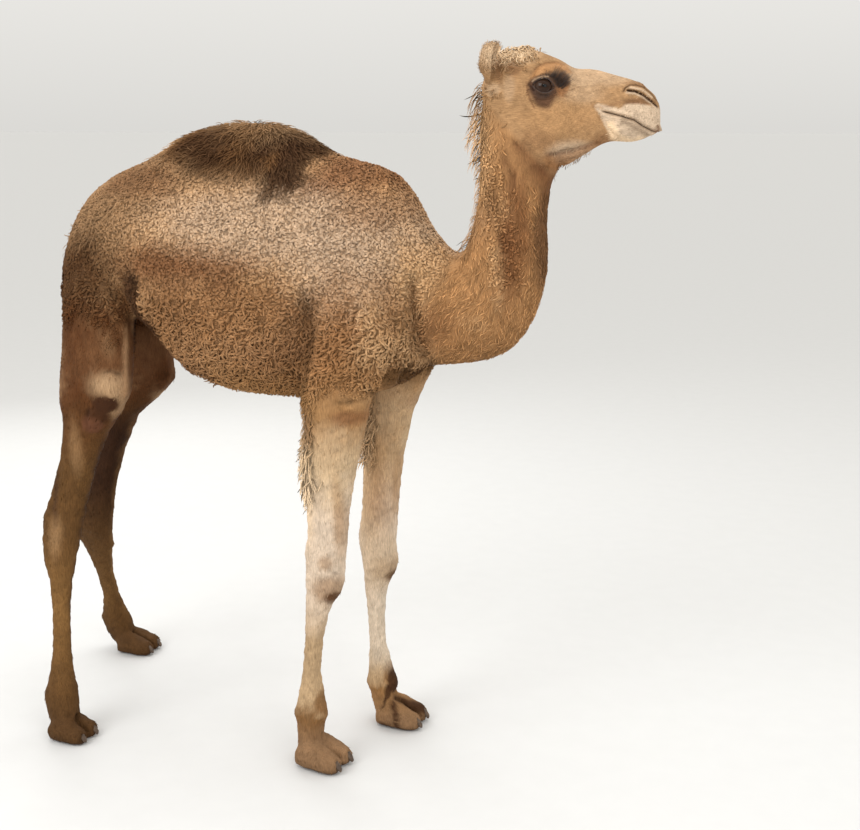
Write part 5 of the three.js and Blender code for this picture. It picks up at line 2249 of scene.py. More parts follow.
@dataclass(frozen=True)
class Region:
    """A patch of the head with an outline as seen from its side.

    Fields:
        colour: the patch's colour.
        outline: corners along the head and up from its origin.
        edge: how wide its soft edge is.
        strength: how much of it shows.
        wander: how far its edge wanders in and out.
    """

    colour: tuple[float, float, float]
    outline: tuple[tuple[float, float], ...]
    edge: float
    strength: float = 1.0
    wander: float = 0.0015

    def share(self, seen: np.ndarray, wander: np.ndarray) -> np.ndarray:
        """How much of the patch shows.

        Args:
            seen: points as seen from the head's side.
            wander: how far its edge moves out at each point.

        Returns:
            A share for each point.
        """
        corners = np.array(self.outline)
        ring = np.vstack([corners, corners[:1]])
        gap, _, _ = Path(ring).nearest(seen)
        inside = np.zeros(len(seen), bool)
        for (x0, y0), (x1, y1) in zip(ring[:-1], ring[1:]):
            crosses = (y0 > seen[:, 1]) != (y1 > seen[:, 1])
            at = x0 + (seen[:, 1] - y0) * (x1 - x0) / (y1 - y0 if y1 != y0 else 1e-9)
            inside ^= crosses & (seen[:, 0] < at)
        depth = np.where(inside, gap, -gap) + self.wander * wander
        return self.strength * rise(-self.edge / 2, self.edge / 2, depth)


MUZZLE = ((0.196, -0.001), (0.204, 0.003), (0.228, -0.004), (0.254, -0.008), (0.267, 0.002),
          (0.295, 0.004), (0.320, 0.000), (0.340, -0.006), (0.400, -0.010), (0.400, -0.120),
          (0.290, -0.110), (0.249, -0.080), (0.232, -0.064), (0.219, -0.043), (0.208, -0.020),
          (0.198, -0.010))
ORBIT = ((0.04, 0.0484), (0.0479, 0.0579), (0.0654, 0.0643), (0.0941, 0.0723), (0.1228, 0.0748),
         (0.1349, 0.0627), (0.133, 0.0484), (0.1212, 0.0324), (0.1069, 0.0181), (0.0989, 0.007),
         (0.0909, -0.0058), (0.075, -0.008), (0.0607, -0.0026), (0.0502, 0.0165), (0.0425, 0.034))
LIDS = ((0.0502, 0.0404), (0.0553, 0.0557), (0.0702, 0.0643), (0.0877, 0.0653), (0.0979, 0.0563),
        (0.0998, 0.0404), (0.0941, 0.0229), (0.0814, 0.0133), (0.0654, 0.0149), (0.0533, 0.0261))
LASH_ROOTS = ((0.0909, 0.0611), (0.0973, 0.0713), (0.11, 0.0754), (0.126, 0.0713), (0.133, 0.0627),
              (0.1298, 0.0525), (0.1164, 0.0474), (0.1069, 0.0398), (0.0973, 0.043))
BROW = ((0.0463, 0.0611), (0.0591, 0.0824), (0.0798, 0.0939), (0.1069, 0.0971), (0.1307, 0.0888),
        (0.1435, 0.0723), (0.1339, 0.0707), (0.11, 0.077), (0.0909, 0.0713), (0.0654, 0.0643))
UNDER_JAW = ((0.0782, -0.1172), (0.1419, -0.1061), (0.2056, -0.0854), (0.2406, -0.0854),
             (0.1737, -0.1141), (0.1355, -0.1459), (0.1069, -0.1507), (0.0846, -0.138))
EYE_CORNER = ((0.1069, 0.0372), (0.1196, 0.0452), (0.1339, 0.0484), (0.1317, 0.0309), (0.1212, 0.0197),
              (0.11, 0.0213))
LOWER_LIP = ((0.2215, -0.0392), (0.2374, -0.036), (0.2581, -0.0663), (0.2852, -0.0768), (0.3171, -0.0685),
             (0.3011, -0.087), (0.2629, -0.0908), (0.2343, -0.079))
HEAD_REGIONS = (
    Region(LIP_CREAM, MUZZLE, 0.008),
    Region(JAW_SHADE, UNDER_JAW, 0.014, 0.6),
    Region(BROW_GOLD, BROW, 0.010, 0.75),
    Region(ORBIT_BROWN, ORBIT, 0.015, 0.90, 0.003),
    Region(CORNER_GOLD, EYE_CORNER, 0.010, 0.8, 0.002),
    Region(LID_GREY, LIDS, 0.010, 0.90, 0.002),
    Region(LASH_SHADE, LASH_ROOTS, 0.022, 0.62, 0.004),
    Region(CROWN_PALE, LOWER_LIP, 0.012, 0.80),
)


@dataclass(frozen=True)
class LegColours:
    """A leg's colours from the sole up, at heights counted in its joints from 0 at the sole."""

    ups: tuple[float, ...]
    colours: tuple[tuple[float, float, float], ...]

    def at(self, up: np.ndarray) -> np.ndarray:
        """The colour at each height."""
        table = np.array(self.colours)
        return np.stack([np.interp(up, self.ups, table[:, k]) for k in range(3)], axis=1)


FORELEG_COLOURS = LegColours(
    (0.0, 0.12, 0.5, 0.98, 1.10, 1.5, 1.80, 2.02, 2.3, 2.6, 2.95, 3.2),
    (DARK, FOOT_TAN, FOOT_TAN, FETLOCK_TAN, CANNON, CANNON, FORELEG_MILK, FORELEG_MILK, FORELEG_MILK,
     FORELEG_PALE, FORELEG_TAN, FORELEG_TAN),
)
HINDLEG_COLOURS = LegColours(
    (0.0, 0.12, 0.5, 1.06, 1.5, 2.0, 2.5, 2.95, 3.3),
    (DARK, HINDFOOT, HINDFOOT, HINDLEG_LOW, HINDLEG_TAN, HINDLEG_LOW, HINDLEG_LOW, THIGH, THIGH),
)


@dataclass(frozen=True)
class LegMark:
    """A soft-edged patch on a leg.

    Fields:
        colour: the patch's colour.
        place: how far ahead of the leg's middle line it lies, how far outside it, and how high up it.
        radii: how far it reaches forward, sideways and up.
        strength: how much of it shows at the middle.
        edge: how wide its soft edge is, as a share of its reach.
    """

    colour: tuple[float, float, float]
    place: tuple[float, float, float]
    radii: tuple[float, float, float]
    strength: float = 0.9
    edge: float = 0.7

    def on(self, name: str) -> Marking:
        """The same patch in the row's frame, on one leg."""
        return Marking(self.colour, tuple(on_limb(name, *self.place)), self.radii, self.strength, self.edge)


FORELEG_MARKS = (
    LegMark(KNEE_TAN, (0.018, 0.045, 2.03), (0.018, 0.040, 0.017), 0.55, 0.9),
    LegMark(KNEE_TAN, (0.026, 0.020, 1.85), (0.044, 0.060, 0.036), 0.65, 1.0),
    LegMark(KNEE_DARK, (0.040, 0.012, 1.79), (0.022, 0.034, 0.020), 0.95, 0.8),
    LegMark(FORELEG_TAN, (0.040, 0.010, 2.38), (0.014, 0.050, 0.110), 0.6, 1.0),
    # painted shade in the fold between the foreleg's top and the chest
    LegMark(NECK_BROWN, (0.062, 0.020, 2.93), (0.042, 0.070, 0.020), 0.75, 1.0),
    LegMark(FETLOCK_TAN, (0.034, 0.0, 1.08), (0.022, 0.050, 0.036), 0.9, 0.6),
    LegMark(CROWN_PALE, (-0.052, 0.0, 2.48), (0.034, 0.060, 0.150), 0.75, 1.0),
    LegMark(WOOL_BROWN, (-0.048, 0.010, 2.86), (0.032, 0.060, 0.050), 0.35, 1.0),
)
# The left forefoot is stained dark in front, down to its edge.
STAINED_LEG = "foreleg_left"
STAIN_MARKS = (
    LegMark(PALEST, (0.0, 0.0, 1.42), (0.05, 0.06, 0.12), 0.70, 0.9),
    LegMark(FORELEG_TAN, (-0.024, 0.0, 2.45), (0.040, 0.08, 0.16), 0.55, 1.0),
    LegMark(FORELEG_PALE, (0.0, 0.0, 2.95), (0.07, 0.08, 0.11), 0.65, 1.0),
    LegMark(FORELEG_PALE, (0.0, 0.0, 1.96), (0.05, 0.06, 0.09), 0.60, 1.0),
    LegMark(KNEE_DARK, (0.040, 0.012, 1.79), (0.020, 0.034, 0.022), 0.80, 0.9),
    LegMark(FORELEG_TAN, (0.010, 0.0, 0.60), (0.090, 0.060, 0.070), 0.55, 1.0),
    LegMark(STAIN, (0.034, 0.0, 1.02), (0.016, 0.032, 0.034), 0.95, 0.35),
    LegMark(STAIN, (0.024, -0.028, 0.84), (0.008, 0.014, 0.024), 0.90, 0.4),
    LegMark(STAIN, (0.014, -0.040, 0.50), (0.005, 0.014, 0.036), 0.85, 0.5),
    LegMark(STAIN, (0.012, -0.046, 0.10), (0.022, 0.016, 0.014), 0.85, 0.5),
    LegMark(STAIN, (0.090, 0.026, 0.42), (0.036, 0.016, 0.018), 0.85, 0.5),
)
HINDLEG_MARKS = (
    LegMark(STIFLE_PALE, (0.062, 0.050, 3.05), (0.048, 0.050, 0.034), 0.92, 1.2),
    LegMark(STIFLE_PALE, (0.080, 0.030, 2.90), (0.022, 0.050, 0.060), 0.7, 0.9),
    LegMark(CALLUS, (0.052, 0.044, 2.925), (0.032, 0.040, 0.024), 1.0, 0.35),
    LegMark(CALLUS, (0.038, 0.044, 2.84), (0.030, 0.040, 0.022), 0.9, 0.5),
    LegMark(CALLUS_RED_AND_FOLD_SHADE, (0.030, 0.046, 2.775), (0.026, 0.040, 0.022), 1.0, 0.35),
    # painted highlight on the hock's outer knob
    LegMark(HINDLEG_PALE, (0.004, 0.050, 1.98), (0.024, 0.034, 0.060), 0.7, 1.0),
    LegMark(HINDLEG_PALE, (0.000, 0.050, 2.60), (0.022, 0.040, 0.070), 0.45, 1.0),
    # painted shade in the groove behind the shank
    LegMark(DARK, (-0.036, 0.030, 2.30), (0.010, 0.060, 0.110), 0.6, 0.9),
)


class Markings:
    """The camel's colours, worked out for any point on its surface, with painted shade in its folds and
    creases, under its body and between its legs.
    """

    def colours(self, points: np.ndarray, normals: np.ndarray, parts: Parts) -> np.ndarray:
        """The camel's colours.

        Args:
            points: places in the row's frame.
            normals: the skin's normals.
            parts: the points' parts.

        Returns:
            A colour for each point.
        """
        wander = 0.6 * ripple(points, 0.10, 3) + 0.4 * ripple(points, 0.03, 4)
        colour = np.tile(np.array(WOOL_TAN), (len(points), 1))
        colour = self.over(colour, NECK_GOLD, parts.neck)
        colour = self.over(colour, HEAD_TAN, parts.head)
        colour = self.over(colour, WOOL_BROWN, parts.tail)
        for patch in BODY_PATCHES:
            colour = self.over(colour, patch.colour, patch.share(points, wander) * (1 - parts.head))
        colour = self.legs(colour, points, normals, parts, wander)
        face = np.maximum(parts.head, parts.neck * rise(-0.25, -0.15, HEAD.inside(points)[:, 2]))
        for patch in HEAD_PATCHES:
            colour = self.over(colour, patch.colour, patch.share(points, 0.5 * wander) * face)
        for line, width, strength, tint in BODY_LINES:
            gap, share, _ = near_line(line, on_right(points))
            fade = rise(0.0, 0.1, share) * rise(1.0, 0.9, share)
            outer = rise(0.13, 0.16, np.abs(points[:, 1]))
            colour = self.over(colour, tint, strength * hill(gap, width) * fade * outer)
        local = NECK.inside(points)
        for line, width, strength, tint in NECK_LINES:
            gap, share, _ = near_line(line, local[:, [0, 2]])
            uneven = hill(gap + 0.3 * width * wander, width)
            uneven = uneven * rise(-0.05, 0.12, share) * rise(1.05, 0.88, share)
            colour = self.over(colour, tint, strength * uneven * parts.neck)
        behind = NECK.inside(points + normals)[:, 0] - local[:, 0]
        nape = rise(0.0, -0.6, behind) * rise(0.075, 0.035, np.abs(local[:, 1]))
        nape *= rise(1.36, 1.52, local[:, 2])
        colour = self.over(colour, NAPE_PALE, 0.85 * nape * parts.neck)
        seen = HEAD.inside(points)[:, [0, 2]]
        for region in HEAD_REGIONS:
            colour = self.over(colour, region.colour, region.share(seen, wander) * face)
        colour = self.details(colour, points, parts) * self.creases(points)[:, None]
        grain = 0.06 * wander + 0.05 * ripple(points, 0.045, 7) + 0.05 * ripple(points, 0.016, 8)
        return colour * (1 + grain)[:, None]

    @staticmethod
    def over(colour: np.ndarray, other: Sequence[float] | np.ndarray, share: np.ndarray) -> np.ndarray:
        """One colour laid over another by a share."""
        return colour + (np.asarray(other) - colour) * np.clip(share, 0, 1)[:, None]

    def legs(
        self, colour: np.ndarray, points: np.ndarray, normals: np.ndarray, parts: Parts, wander: np.ndarray
    ) -> np.ndarray:
        """Adds the legs' colours, the darker inner sides and the marks of the joints; the hind legs' dark
        inner sides are partly their own colour and partly painted shade between the legs.

        Args:
            colour: the colours so far.
            points: places in the row's frame.
            normals: the skin's normals.
            parts: the points' parts.
            wander: how unevenly colours meet at each point.

        Returns:
            The new colours.
        """
        inward = -normals[:, 1] * np.sign(points[:, 1])
        gaps = np.stack([limb.nearest(points)[0] for limb in LIMBS.values()])
        for i, name in enumerate(LIMBS):
            fore = name.startswith("fore")
            here = (gaps.argmin(0) == i) * (1 - parts.tail)
            up = up_limb(name, points)
            low = here * rise(3.35, 2.85, up + 0.06 * wander)
            table = FORELEG_COLOURS if fore else HINDLEG_COLOURS
            colour = self.over(colour, table.at(up + 0.06 * wander * (up > 0.8)), low)
            if fore:
                inner = 0.4 * rise(0.0, 0.6, inward) * rise(1.9, 2.3, up)
                colour = self.over(colour, FORELEG_TAN, inner * low)
            else:
                # dark inner side: partly the hind leg's own colour, partly painted shade between the legs
                inner = rise(-0.25, 0.45, inward + 0.15 * ripple(points, 0.08, 10))
                height = 0.45 * rise(1.15, 1.5, up) + 0.5 * rise(1.9, 2.3, up)
                inner *= height * (1 - 0.9 * rise(2.6, 2.9, up))
                colour = self.over(colour, HINDLEG_DARK, inner * low)
            marks = (FORELEG_MARKS if fore else HINDLEG_MARKS) + (STAIN_MARKS if name == STAINED_LEG else ())
            for mark in marks:
                colour = self.over(colour, mark.colour, mark.on(name).share(points, 0.7 * wander) * here)
            if name == STAINED_LEG:
                for line, width in STAIN_LINES:
                    gap, _, _ = near_line(line, points)
                    colour = self.over(colour, STAIN, np.minimum(1.5 * hill(gap, width), 0.95) * here)
        return colour

    @staticmethod
    def creases(points: np.ndarray) -> np.ndarray:
        """How much light is left beside the body's folds.

        Args:
            points: places in the row's frame.

        Returns:
            1 away from folds, less at the bottom of a deep one.
        """
        light = np.ones(len(points))
        for shapes, where in ((FLANK_SHAPES, on_right(points)), (leg_shapes(), points)):
            for fold in shapes:
                if isinstance(fold, Fold) and fold.depth > 0:
                    gap, _, _ = near_line(fold.line, where)
                    light *= 1 - 0.50 * min(fold.depth / 0.007, 1.2) * hill(gap, 0.9 * fold.width)
        return light

    def details(self, colour: np.ndarray, points: np.ndarray, parts: Parts) -> np.ndarray:
        """Adds the fine dark lines of nostril and mouth, and the lips' speckles.

        Args:
            colour: the colours so far.
            points: places in the row's frame.
            parts: the points' parts.

        Returns:
            The new colours.
        """
        local = HEAD.inside(points)
        seen = local[:, [0, 2]]
        face = np.maximum(parts.head, parts.neck * rise(-0.25, -0.15, local[:, 2]))
        for line, width, strength, tint in HEAD_LINES:
            gap, share, _ = near_line(line, seen)
            fade = rise(0.0, 0.08, share)
            colour = self.over(colour, tint, strength * hill(gap, width) * fade * face)
        lips = rise(0.21, 0.26, local[:, 0]) * rise(0.03, 0.0, local[:, 2])
        speckle = rise(0.9, 1.7, ripple(points, 0.0055, 31) + 0.5 * ripple(points, 0.02, 32))
        return self.over(colour, DUSK, 0.45 * speckle * lips * parts.head)

    def bareness(self, points: np.ndarray, parts: Parts) -> np.ndarray:
        """How bare the skin is.

        Args:
            points: places in the row's frame.
            parts: the points' parts.

        Returns:
            1 on calluses and soles, inside the nostrils and lips, and round the eyes.
        """
        local = HEAD.inside(points)
        local[:, 1] = np.abs(local[:, 1])
        own = SOCKET.inside(local)
        bare = rise(1.5, 1.1, SOCKET.opening(own)) * (np.abs(own[:, 2]) < 0.04)
        for line in (NOSTRIL, MOUTH):
            gap, _, _ = near_line(line, local[:, [0, 2]])
            bare = np.maximum(bare, hill(gap, 0.0035))
        bare *= parts.head
        for name in ("hindleg_right", "hindleg_left"):
            for mark in HINDLEG_MARKS:
                if mark.colour in (CALLUS, CALLUS_RED_AND_FOLD_SHADE):
                    bare = np.maximum(bare, mark.on(name).share(points, np.zeros(len(points))))
        return np.maximum(bare, rise(0.012, 0.004, points[:, 2]))


# ---- the skin -----------------------------------------------------------------------------------


FLESH_ENDINGS = ("_upper", "_cannon", "_foot")


def flesh_nodes() -> list[str]:
    """The CAD nodes that the skin replaces."""
    names = [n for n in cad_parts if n.endswith(FLESH_ENDINGS)]
    return names + ["head", "neck", "trunk", "hump", "tail", "ear_left", "ear_right"]


@dataclass
class Skin:
    """The one skin, from the muzzle to the feet, under the coat.

    Fields:
        voxel: how fine it is remeshed; `coarser` is not used.
        overlap: how far the nodes' copies are grown so that they join.
        budget: about how many triangles it is thinned to.
        wool_depth, hump_depth, neck_depth, short_depth: how deep each kind of coat is.
        broad_rounds, fine_rounds: how often the trunk and the whole skin are smoothed.
        mesh: the skin's mesh.
    """

    voxel: float = 0.0030
    coarser: float = 1.5
    overlap: float = 0.0005
    budget: int = 150_000
    wool_depth: float = 0.0065
    hump_depth: float = 0.0050
    neck_depth: float = 0.0030
    short_depth: float = 0.0016
    broad_rounds: int = 70
    fine_rounds: int = 10
    mesh: bpy.types.Mesh = field(init=False)

    def build(self) -> bpy.types.Object:
        """Makes the skin's mesh from the frame's nodes, and stores its colours on it.

        Returns:
            The skin.
        """
        shell = self.joined()
        self.mesh = self.remeshed(shell)
        LOG.info("skin remeshed: %d vertices", len(self.mesh.vertices))
        self.smooth()
        self.inset()
        self.thin()
        Face().shape(self.mesh)
        piece = new_object("skin", self.mesh)
        self.dress()
        return piece

    def joined(self) -> bpy.types.Object:
        """Copies of all nodes of flesh and the eyes, grown a little so that they overlap.

        Returns:
            All of them in one mesh.
        """
        joined = bmesh.new()
        for name in flesh_nodes() + ["eye_left", "eye_right"]:
            one = bmesh.new()
            one.from_mesh(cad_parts[name].data)
            bmesh.ops.remove_doubles(one, verts=one.verts, dist=1e-5)
            one.normal_update()
            for v in one.verts:
                v.co += v.normal * self.overlap
            copy = bpy.data.meshes.new(name)
            one.to_mesh(copy)
            one.free()
            joined.from_mesh(copy)
            bpy.data.meshes.remove(copy)
        mesh = bpy.data.meshes.new("joined")
        joined.to_mesh(mesh)
        joined.free()
        return new_object("joined", mesh)

    def remeshed(self, shell: bpy.types.Object) -> bpy.types.Mesh:
        """Makes one closed even mesh.

        Args:
            shell: the overlapping copies.

        Returns:
            The mesh.
        """
        remesh = shell.modifiers.new("remesh", "REMESH")
        remesh.mode = "VOXEL"
        remesh.voxel_size = self.voxel * 1.0
        mesh = evaluated(shell)
        discard(shell)
        return mesh

    def smooth(self) -> None:
        """Takes the facets out: broad on the trunk, gentle on head, legs and feet."""
        points, edges = vertices_of(self.mesh), edges_of(self.mesh)
        broad = self.broad_share(points)
        points = relaxed(points, edges, broad, self.broad_rounds)
        points = relaxed(points, edges, np.full(len(points), 0.5), self.fine_rounds)
        put_vertices(self.mesh, points)

    def broad_share(self, points: np.ndarray) -> np.ndarray:
        """How strongly the broad smoothing works.

        Args:
            points: places in the row's frame.

        Returns:
            A share for each point.
        """
        parts = Parts.of(points)
        trunk = (1 - parts.head) * (1 - parts.leg) * (1 - parts.tail) * (1 - parts.neck)
        head = parts.head * (1 - ear_share(points))
        return 0.5 * np.clip(trunk + 0.7 * parts.neck + 0.12 * head + 0.10 * parts.leg, 0, 1)

    def depth(self, points: np.ndarray) -> np.ndarray:
        """How deep the coat is.

        Args:
            points: places in the row's frame.

        Returns:
            A depth for each point.
        """
        parts = Parts.of(points)
        deep = self.short_depth + (self.wool_depth - self.short_depth) * wooliness(points, parts)
        deep += (self.hump_depth - deep) * parts.hump
        deep += (self.neck_depth - deep) * parts.neck
        short = self.short_depth * (1 - 0.9 * ear_share(points))
        for share in (parts.head, parts.leg, parts.tail):
            deep += (short - deep) * share
        return deep

    def inset(self) -> None:
        """Draws the skin in by the coat's depth, and shapes the body."""
        points = vertices_of(self.mesh)
        put_vertices(self.mesh, points - normals_of(self.mesh) * self.depth(points)[:, None])
        put_vertices(self.mesh, shaped_body(vertices_of(self.mesh), normals_of(self.mesh)))

    def thin(self) -> None:
        """Leaves the head's mesh fine and thins the rest."""
        helper = new_object("thinning", self.mesh)
        parts = Parts.of(vertices_of(self.mesh))
        group = helper.vertex_groups.new(name="thin")
        loose = 1 - parts.head
        for level in (0.0, 1.0):
            chosen = np.nonzero((loose >= 0.5) == bool(level))[0]
            group.add(chosen.tolist(), level, "REPLACE")
        thin = helper.modifiers.new("thin", "DECIMATE")
        thin.vertex_group = group.name
        triangles = len(self.mesh.loops) - 2 * len(self.mesh.polygons)
        thin.ratio = self.budget / triangles
        made = evaluated(helper)
        discard(helper)
        self.mesh = made
        self.mesh.name = "skin"
        LOG.info("skin thinned: %d triangles", len(self.mesh.loops) - 2 * len(self.mesh.polygons))

    def shade_under_coat(self, points: np.ndarray, parts: Parts) -> np.ndarray:
        """Painted shade on the skin between the locks: deepest under the wool."""
        bald = (1 - wooliness(points, parts)) * (1 - parts.hump) * (1 - parts.neck)
        return 0.74 + 0.22 * bald + 0.06 * parts.neck + 0.08 * parts.hump

    def dress(self) -> None:
        """Stores what the materials and the coat read from the skin."""
        points = vertices_of(self.mesh)
        parts = Parts.of(points)
        marks = Markings()
        put_attribute(self.mesh, COLOUR, marks.colours(points, normals_of(self.mesh), parts))
        put_attribute(self.mesh, "level_hair", parts.head)
        put_attribute(self.mesh, "bare", marks.bareness(points, parts))
        # the painted shade between the coat's locks
        put_attribute(self.mesh, "under_coat", self.shade_under_coat(points, parts))
        self.mesh.polygons.foreach_set("use_smooth", np.ones(len(self.mesh.polygons), bool))


# ---- the coat's pieces --------------------------------------------------------------------------


CURLS = Lock(spacing=0.0050, length=0.0142, width=0.0096, flat=0.32, lift=0.14, stand=0.12, spread=1.1,
             swirl=1.8, patch=0.026, bend=3.0, coil=0.0008, turns=1.0, rings=5)
RINGLETS = Lock(spacing=0.0060, length=0.022, width=0.0084, flat=0.36, lift=0.11, stand=0.13, spread=0.45,
                swirl=0.9, patch=0.030, bend=1.7, coil=0.0020, turns=1.2, sag=0.08, rings=6)
HUMP_HAIR = Lock(spacing=0.0046, length=0.030, width=0.0034, flat=0.45, lift=0.10, stand=0.26, spread=0.35,
                 swirl=0.45, patch=0.06, bend=0.7, rings=5)
NECK_HAIR = Lock(spacing=0.0060, length=0.021, width=0.0042, flat=0.36, lift=0.07, stand=0.09, spread=0.28,
                 swirl=0.7, patch=0.040, bend=0.8, rings=5)
NECK_CURLS = Lock(spacing=0.0058, length=0.013, width=0.0070, flat=0.36, lift=0.17, stand=0.22, spread=1.2,
                  swirl=2.0, patch=0.020, bend=2.8, coil=0.0006, turns=1.0, rings=6)
MANE = Lock(spacing=0.0078, length=0.054, width=0.0040, flat=0.5, vary=0.45, lift=0.12, stand=0.55,
            spread=0.6, swirl=1.0, patch=0.020, bend=1.0, coil=0.0014, turns=0.7, sag=0.20, rings=8)
BRUSH = Lock(spacing=0.0070, length=0.060, width=0.0044, flat=0.5, vary=0.45, lift=0.06, stand=0.14,
             spread=0.35, swirl=0.6, patch=0.020, bend=0.7, coil=0.0014, turns=0.7, sag=0.45, rings=8)
CROWN = Lock(spacing=0.0056, length=0.020, width=0.0036, flat=0.5, lift=0.16, stand=0.30, spread=1.0,
             swirl=1.6, patch=0.02, bend=2.4, coil=0.0016, turns=1.0, rings=7)
LEG_HAIR = Lock(spacing=0.0113, length=0.013, width=0.0030, flat=0.35, lift=0.05, stand=0.10, spread=0.25,
                swirl=0.3, patch=0.08, bend=0.4, rings=4)
FACE_HAIR = Lock(spacing=0.0047, length=0.009, width=0.0021, flat=0.35, lift=0.05, stand=0.09, spread=0.25,
                 swirl=0.5, patch=0.05, bend=0.4, rings=4)
EAR_FUZZ = Lock(spacing=0.0040, length=0.011, width=0.0020, flat=0.4, lift=0.08, stand=0.30, spread=0.6,
                swirl=0.6, patch=0.02, bend=0.9, rings=6)
FOREARM_TUFTS = Lock(spacing=0.0060, length=0.034, width=0.0054, flat=0.40, lift=0.10, stand=0.34,
                     spread=0.45, swirl=0.9, patch=0.02, bend=1.1, coil=0.0008, turns=0.8, sag=0.10, rings=6)
FRINGE = Lock(spacing=0.0075, length=0.034, width=0.0046, flat=0.5, lift=0.08, stand=0.25, spread=0.4,
              swirl=0.6, patch=0.03, bend=1.2, coil=0.0016, turns=0.9, sag=0.35, rings=7)


# How far down each foreleg its fringe reaches, counted in its joints.
FRINGE_ENDS = {"foreleg_right": 2.32, "foreleg_left": 2.50}


def band(values: np.ndarray, low: float, high: float) -> np.ndarray:
    """1 where a value lies between two limits, else 0."""
    return ((values >= low) & (values < high)).astype(float)


class Growth:
    """Where each kind of hair grows, and how long."""

    @staticmethod
    def curled(s: Surface) -> np.ndarray:
        """How far the wool is in tight curls, over the upper flanks, and not in hanging ringlets."""
        return rise(1.13, 1.21, s.points[:, 2] + 0.03 * ripple(s.points, 0.12, 51))

    @staticmethod
    def wool(s: Surface) -> np.ndarray:
        """How thickly wool grows: it ends where it has grown short."""
        return rise(0.14, 0.48, s.wool) * (1 - s.parts.hump)

    @staticmethod
    def wool_length(s: Surface) -> np.ndarray:
        """How long wool is: shorter where it thins out, and longest along the belly's edge.

        Args:
            s: the skin.

        Returns:
            A share for each vertex.
        """
        x, y, z = s.points.T
        belly = rise(1.10, 1.02, z) * rise(0.10, 0.04, x) * rise(-0.36, -0.30, x)
        belly *= rise(0.10, 0.15, np.abs(y))
        return (0.12 + 0.88 * rise(0.18, 0.85, s.wool)) * (1 + 0.30 * belly)

    @staticmethod
    def throat(s: Surface) -> np.ndarray:
        """The folded throat, where the neck's hair is as short as the head's."""
        u, _, w = HEAD.inside(s.points).T
        return s.parts.neck * rise(-0.21, -0.17, w) * rise(-0.03, 0.0, u)

    @staticmethod
    def neck_curls(s: Surface) -> np.ndarray:
        """The strip of short curls down each side of the neck.

        Args:
            s: the skin.

        Returns:
            A share for each vertex.
        """
        seen = NECK.inside(s.points)[:, [0, 2]]
        gap, share, _ = near_line(CURLED_STRIP, seen)
        strip = rise(0.050, 0.022, gap + 0.008 * ripple(s.points, 0.05, 71)) * rise(1.0, 0.9, share)
        return strip * (s.parts.neck - Growth.throat(s)) * (1 - Growth.nape(s))

    @staticmethod
    def neck(s: Surface) -> np.ndarray:
        """How thickly the neck's longer, straighter hair grows."""
        return s.parts.neck - Growth.throat(s) - Growth.neck_curls(s)

    @staticmethod
    def face(s: Surface) -> np.ndarray:
        """How thickly the head's short hair grows."""
        return np.maximum(s.parts.head * (1 - s.ears), Growth.throat(s))

    @staticmethod
    def nape(s: Surface) -> np.ndarray:
        """How thickly the mane grows along the back of the neck.

        Args:
            s: the skin.

        Returns:
            A share for each vertex.
        """
        x, y, z = NECK.inside(s.points).T
        behind = rise(0.02, -0.5, NECK.inside(s.points + s.normals)[:, 0] - x)
        middle = behind * rise(0.050, 0.030, np.abs(y)) * rise(1.29, 1.34, z)
        return middle * rise(1.72, 1.69, z) * rise(0.24, 0.22, x)

    @staticmethod
    def nape_length(s: Surface) -> np.ndarray:
        """The mane's length: longest just below the head, in uneven tufts further down.

        Args:
            s: the skin.

        Returns:
            A share for each vertex.
        """
        z = s.points[:, 2]
        tuft = rise(-0.2, 1.2, ripple(s.points * (0.3, 0.3, 1.0), 0.045, 61))
        return 0.34 + 0.24 * tuft + 0.42 * rise(1.50, 1.58, z) * rise(1.72, 1.68, z)

    @staticmethod
    def crown(s: Surface) -> np.ndarray:
        """How thickly curls grow on the crown, between and before the ears.

        Args:
            s: the skin.

        Returns:
            A share for each vertex.
        """
        u, _, w = HEAD.inside(s.points).T
        top = rise(0.080, 0.098, w) * rise(0.075, 0.05, u) * rise(-0.06, -0.045, u)
        temple = 0.6 * hill(np.hypot(u + 0.004, w - 0.084), 0.020)
        cheek = 0.5 * hill(np.hypot(u + 0.040, w - 0.030), 0.016)
        return s.parts.head * (1 - s.ears) * np.clip(top + temple + cheek, 0, 1)

    @staticmethod
    def jaw(s: Surface) -> np.ndarray:
        """The fringe under the jaw and throat.

        Args:
            s: the skin.

        Returns:
            A share for each vertex.
        """
        u, _, w = HEAD.inside(s.points).T
        under = rise(-0.2, -0.7, s.normals[:, 2])
        return s.parts.head * under * rise(0.20, 0.17, u) * rise(0.05, 0.08, u) * rise(-0.08, -0.10, w)

    @staticmethod
    def jaw_length(s: Surface) -> np.ndarray:
        """The jaw's fringe is about a third as long as the lock that it is made of."""
        return np.full(len(s.points), 0.36)

    @staticmethod
    def forearm(s: Surface) -> np.ndarray:
        """The fringe down the back of the forearms and elbows.

        Args:
            s: the skin.

        Returns:
            A share for each vertex.
        """
        total = np.zeros(len(s.points))
        for name in FRINGE_ENDS:
            gap, _, _ = LIMBS[name].nearest(s.points)
            up = up_limb(name, s.points)
            back = rise(-0.1, -0.6, s.normals[:, 0])
            reach = FRINGE_ENDS[name]
            total += back * rise(0.11, 0.09, gap) * rise(reach, reach + 0.15, up) * rise(3.2, 3.0, up)
        return np.clip(total, 0, 1)

    @staticmethod
    def forearm_length(s: Surface) -> np.ndarray:
        """The fringe's length: shorter at the elbow and towards the knee."""
        up = up_limb("foreleg_right", s.points)
        return 0.55 + 0.45 * rise(2.88, 2.70, up) * rise(2.35, 2.52, up)

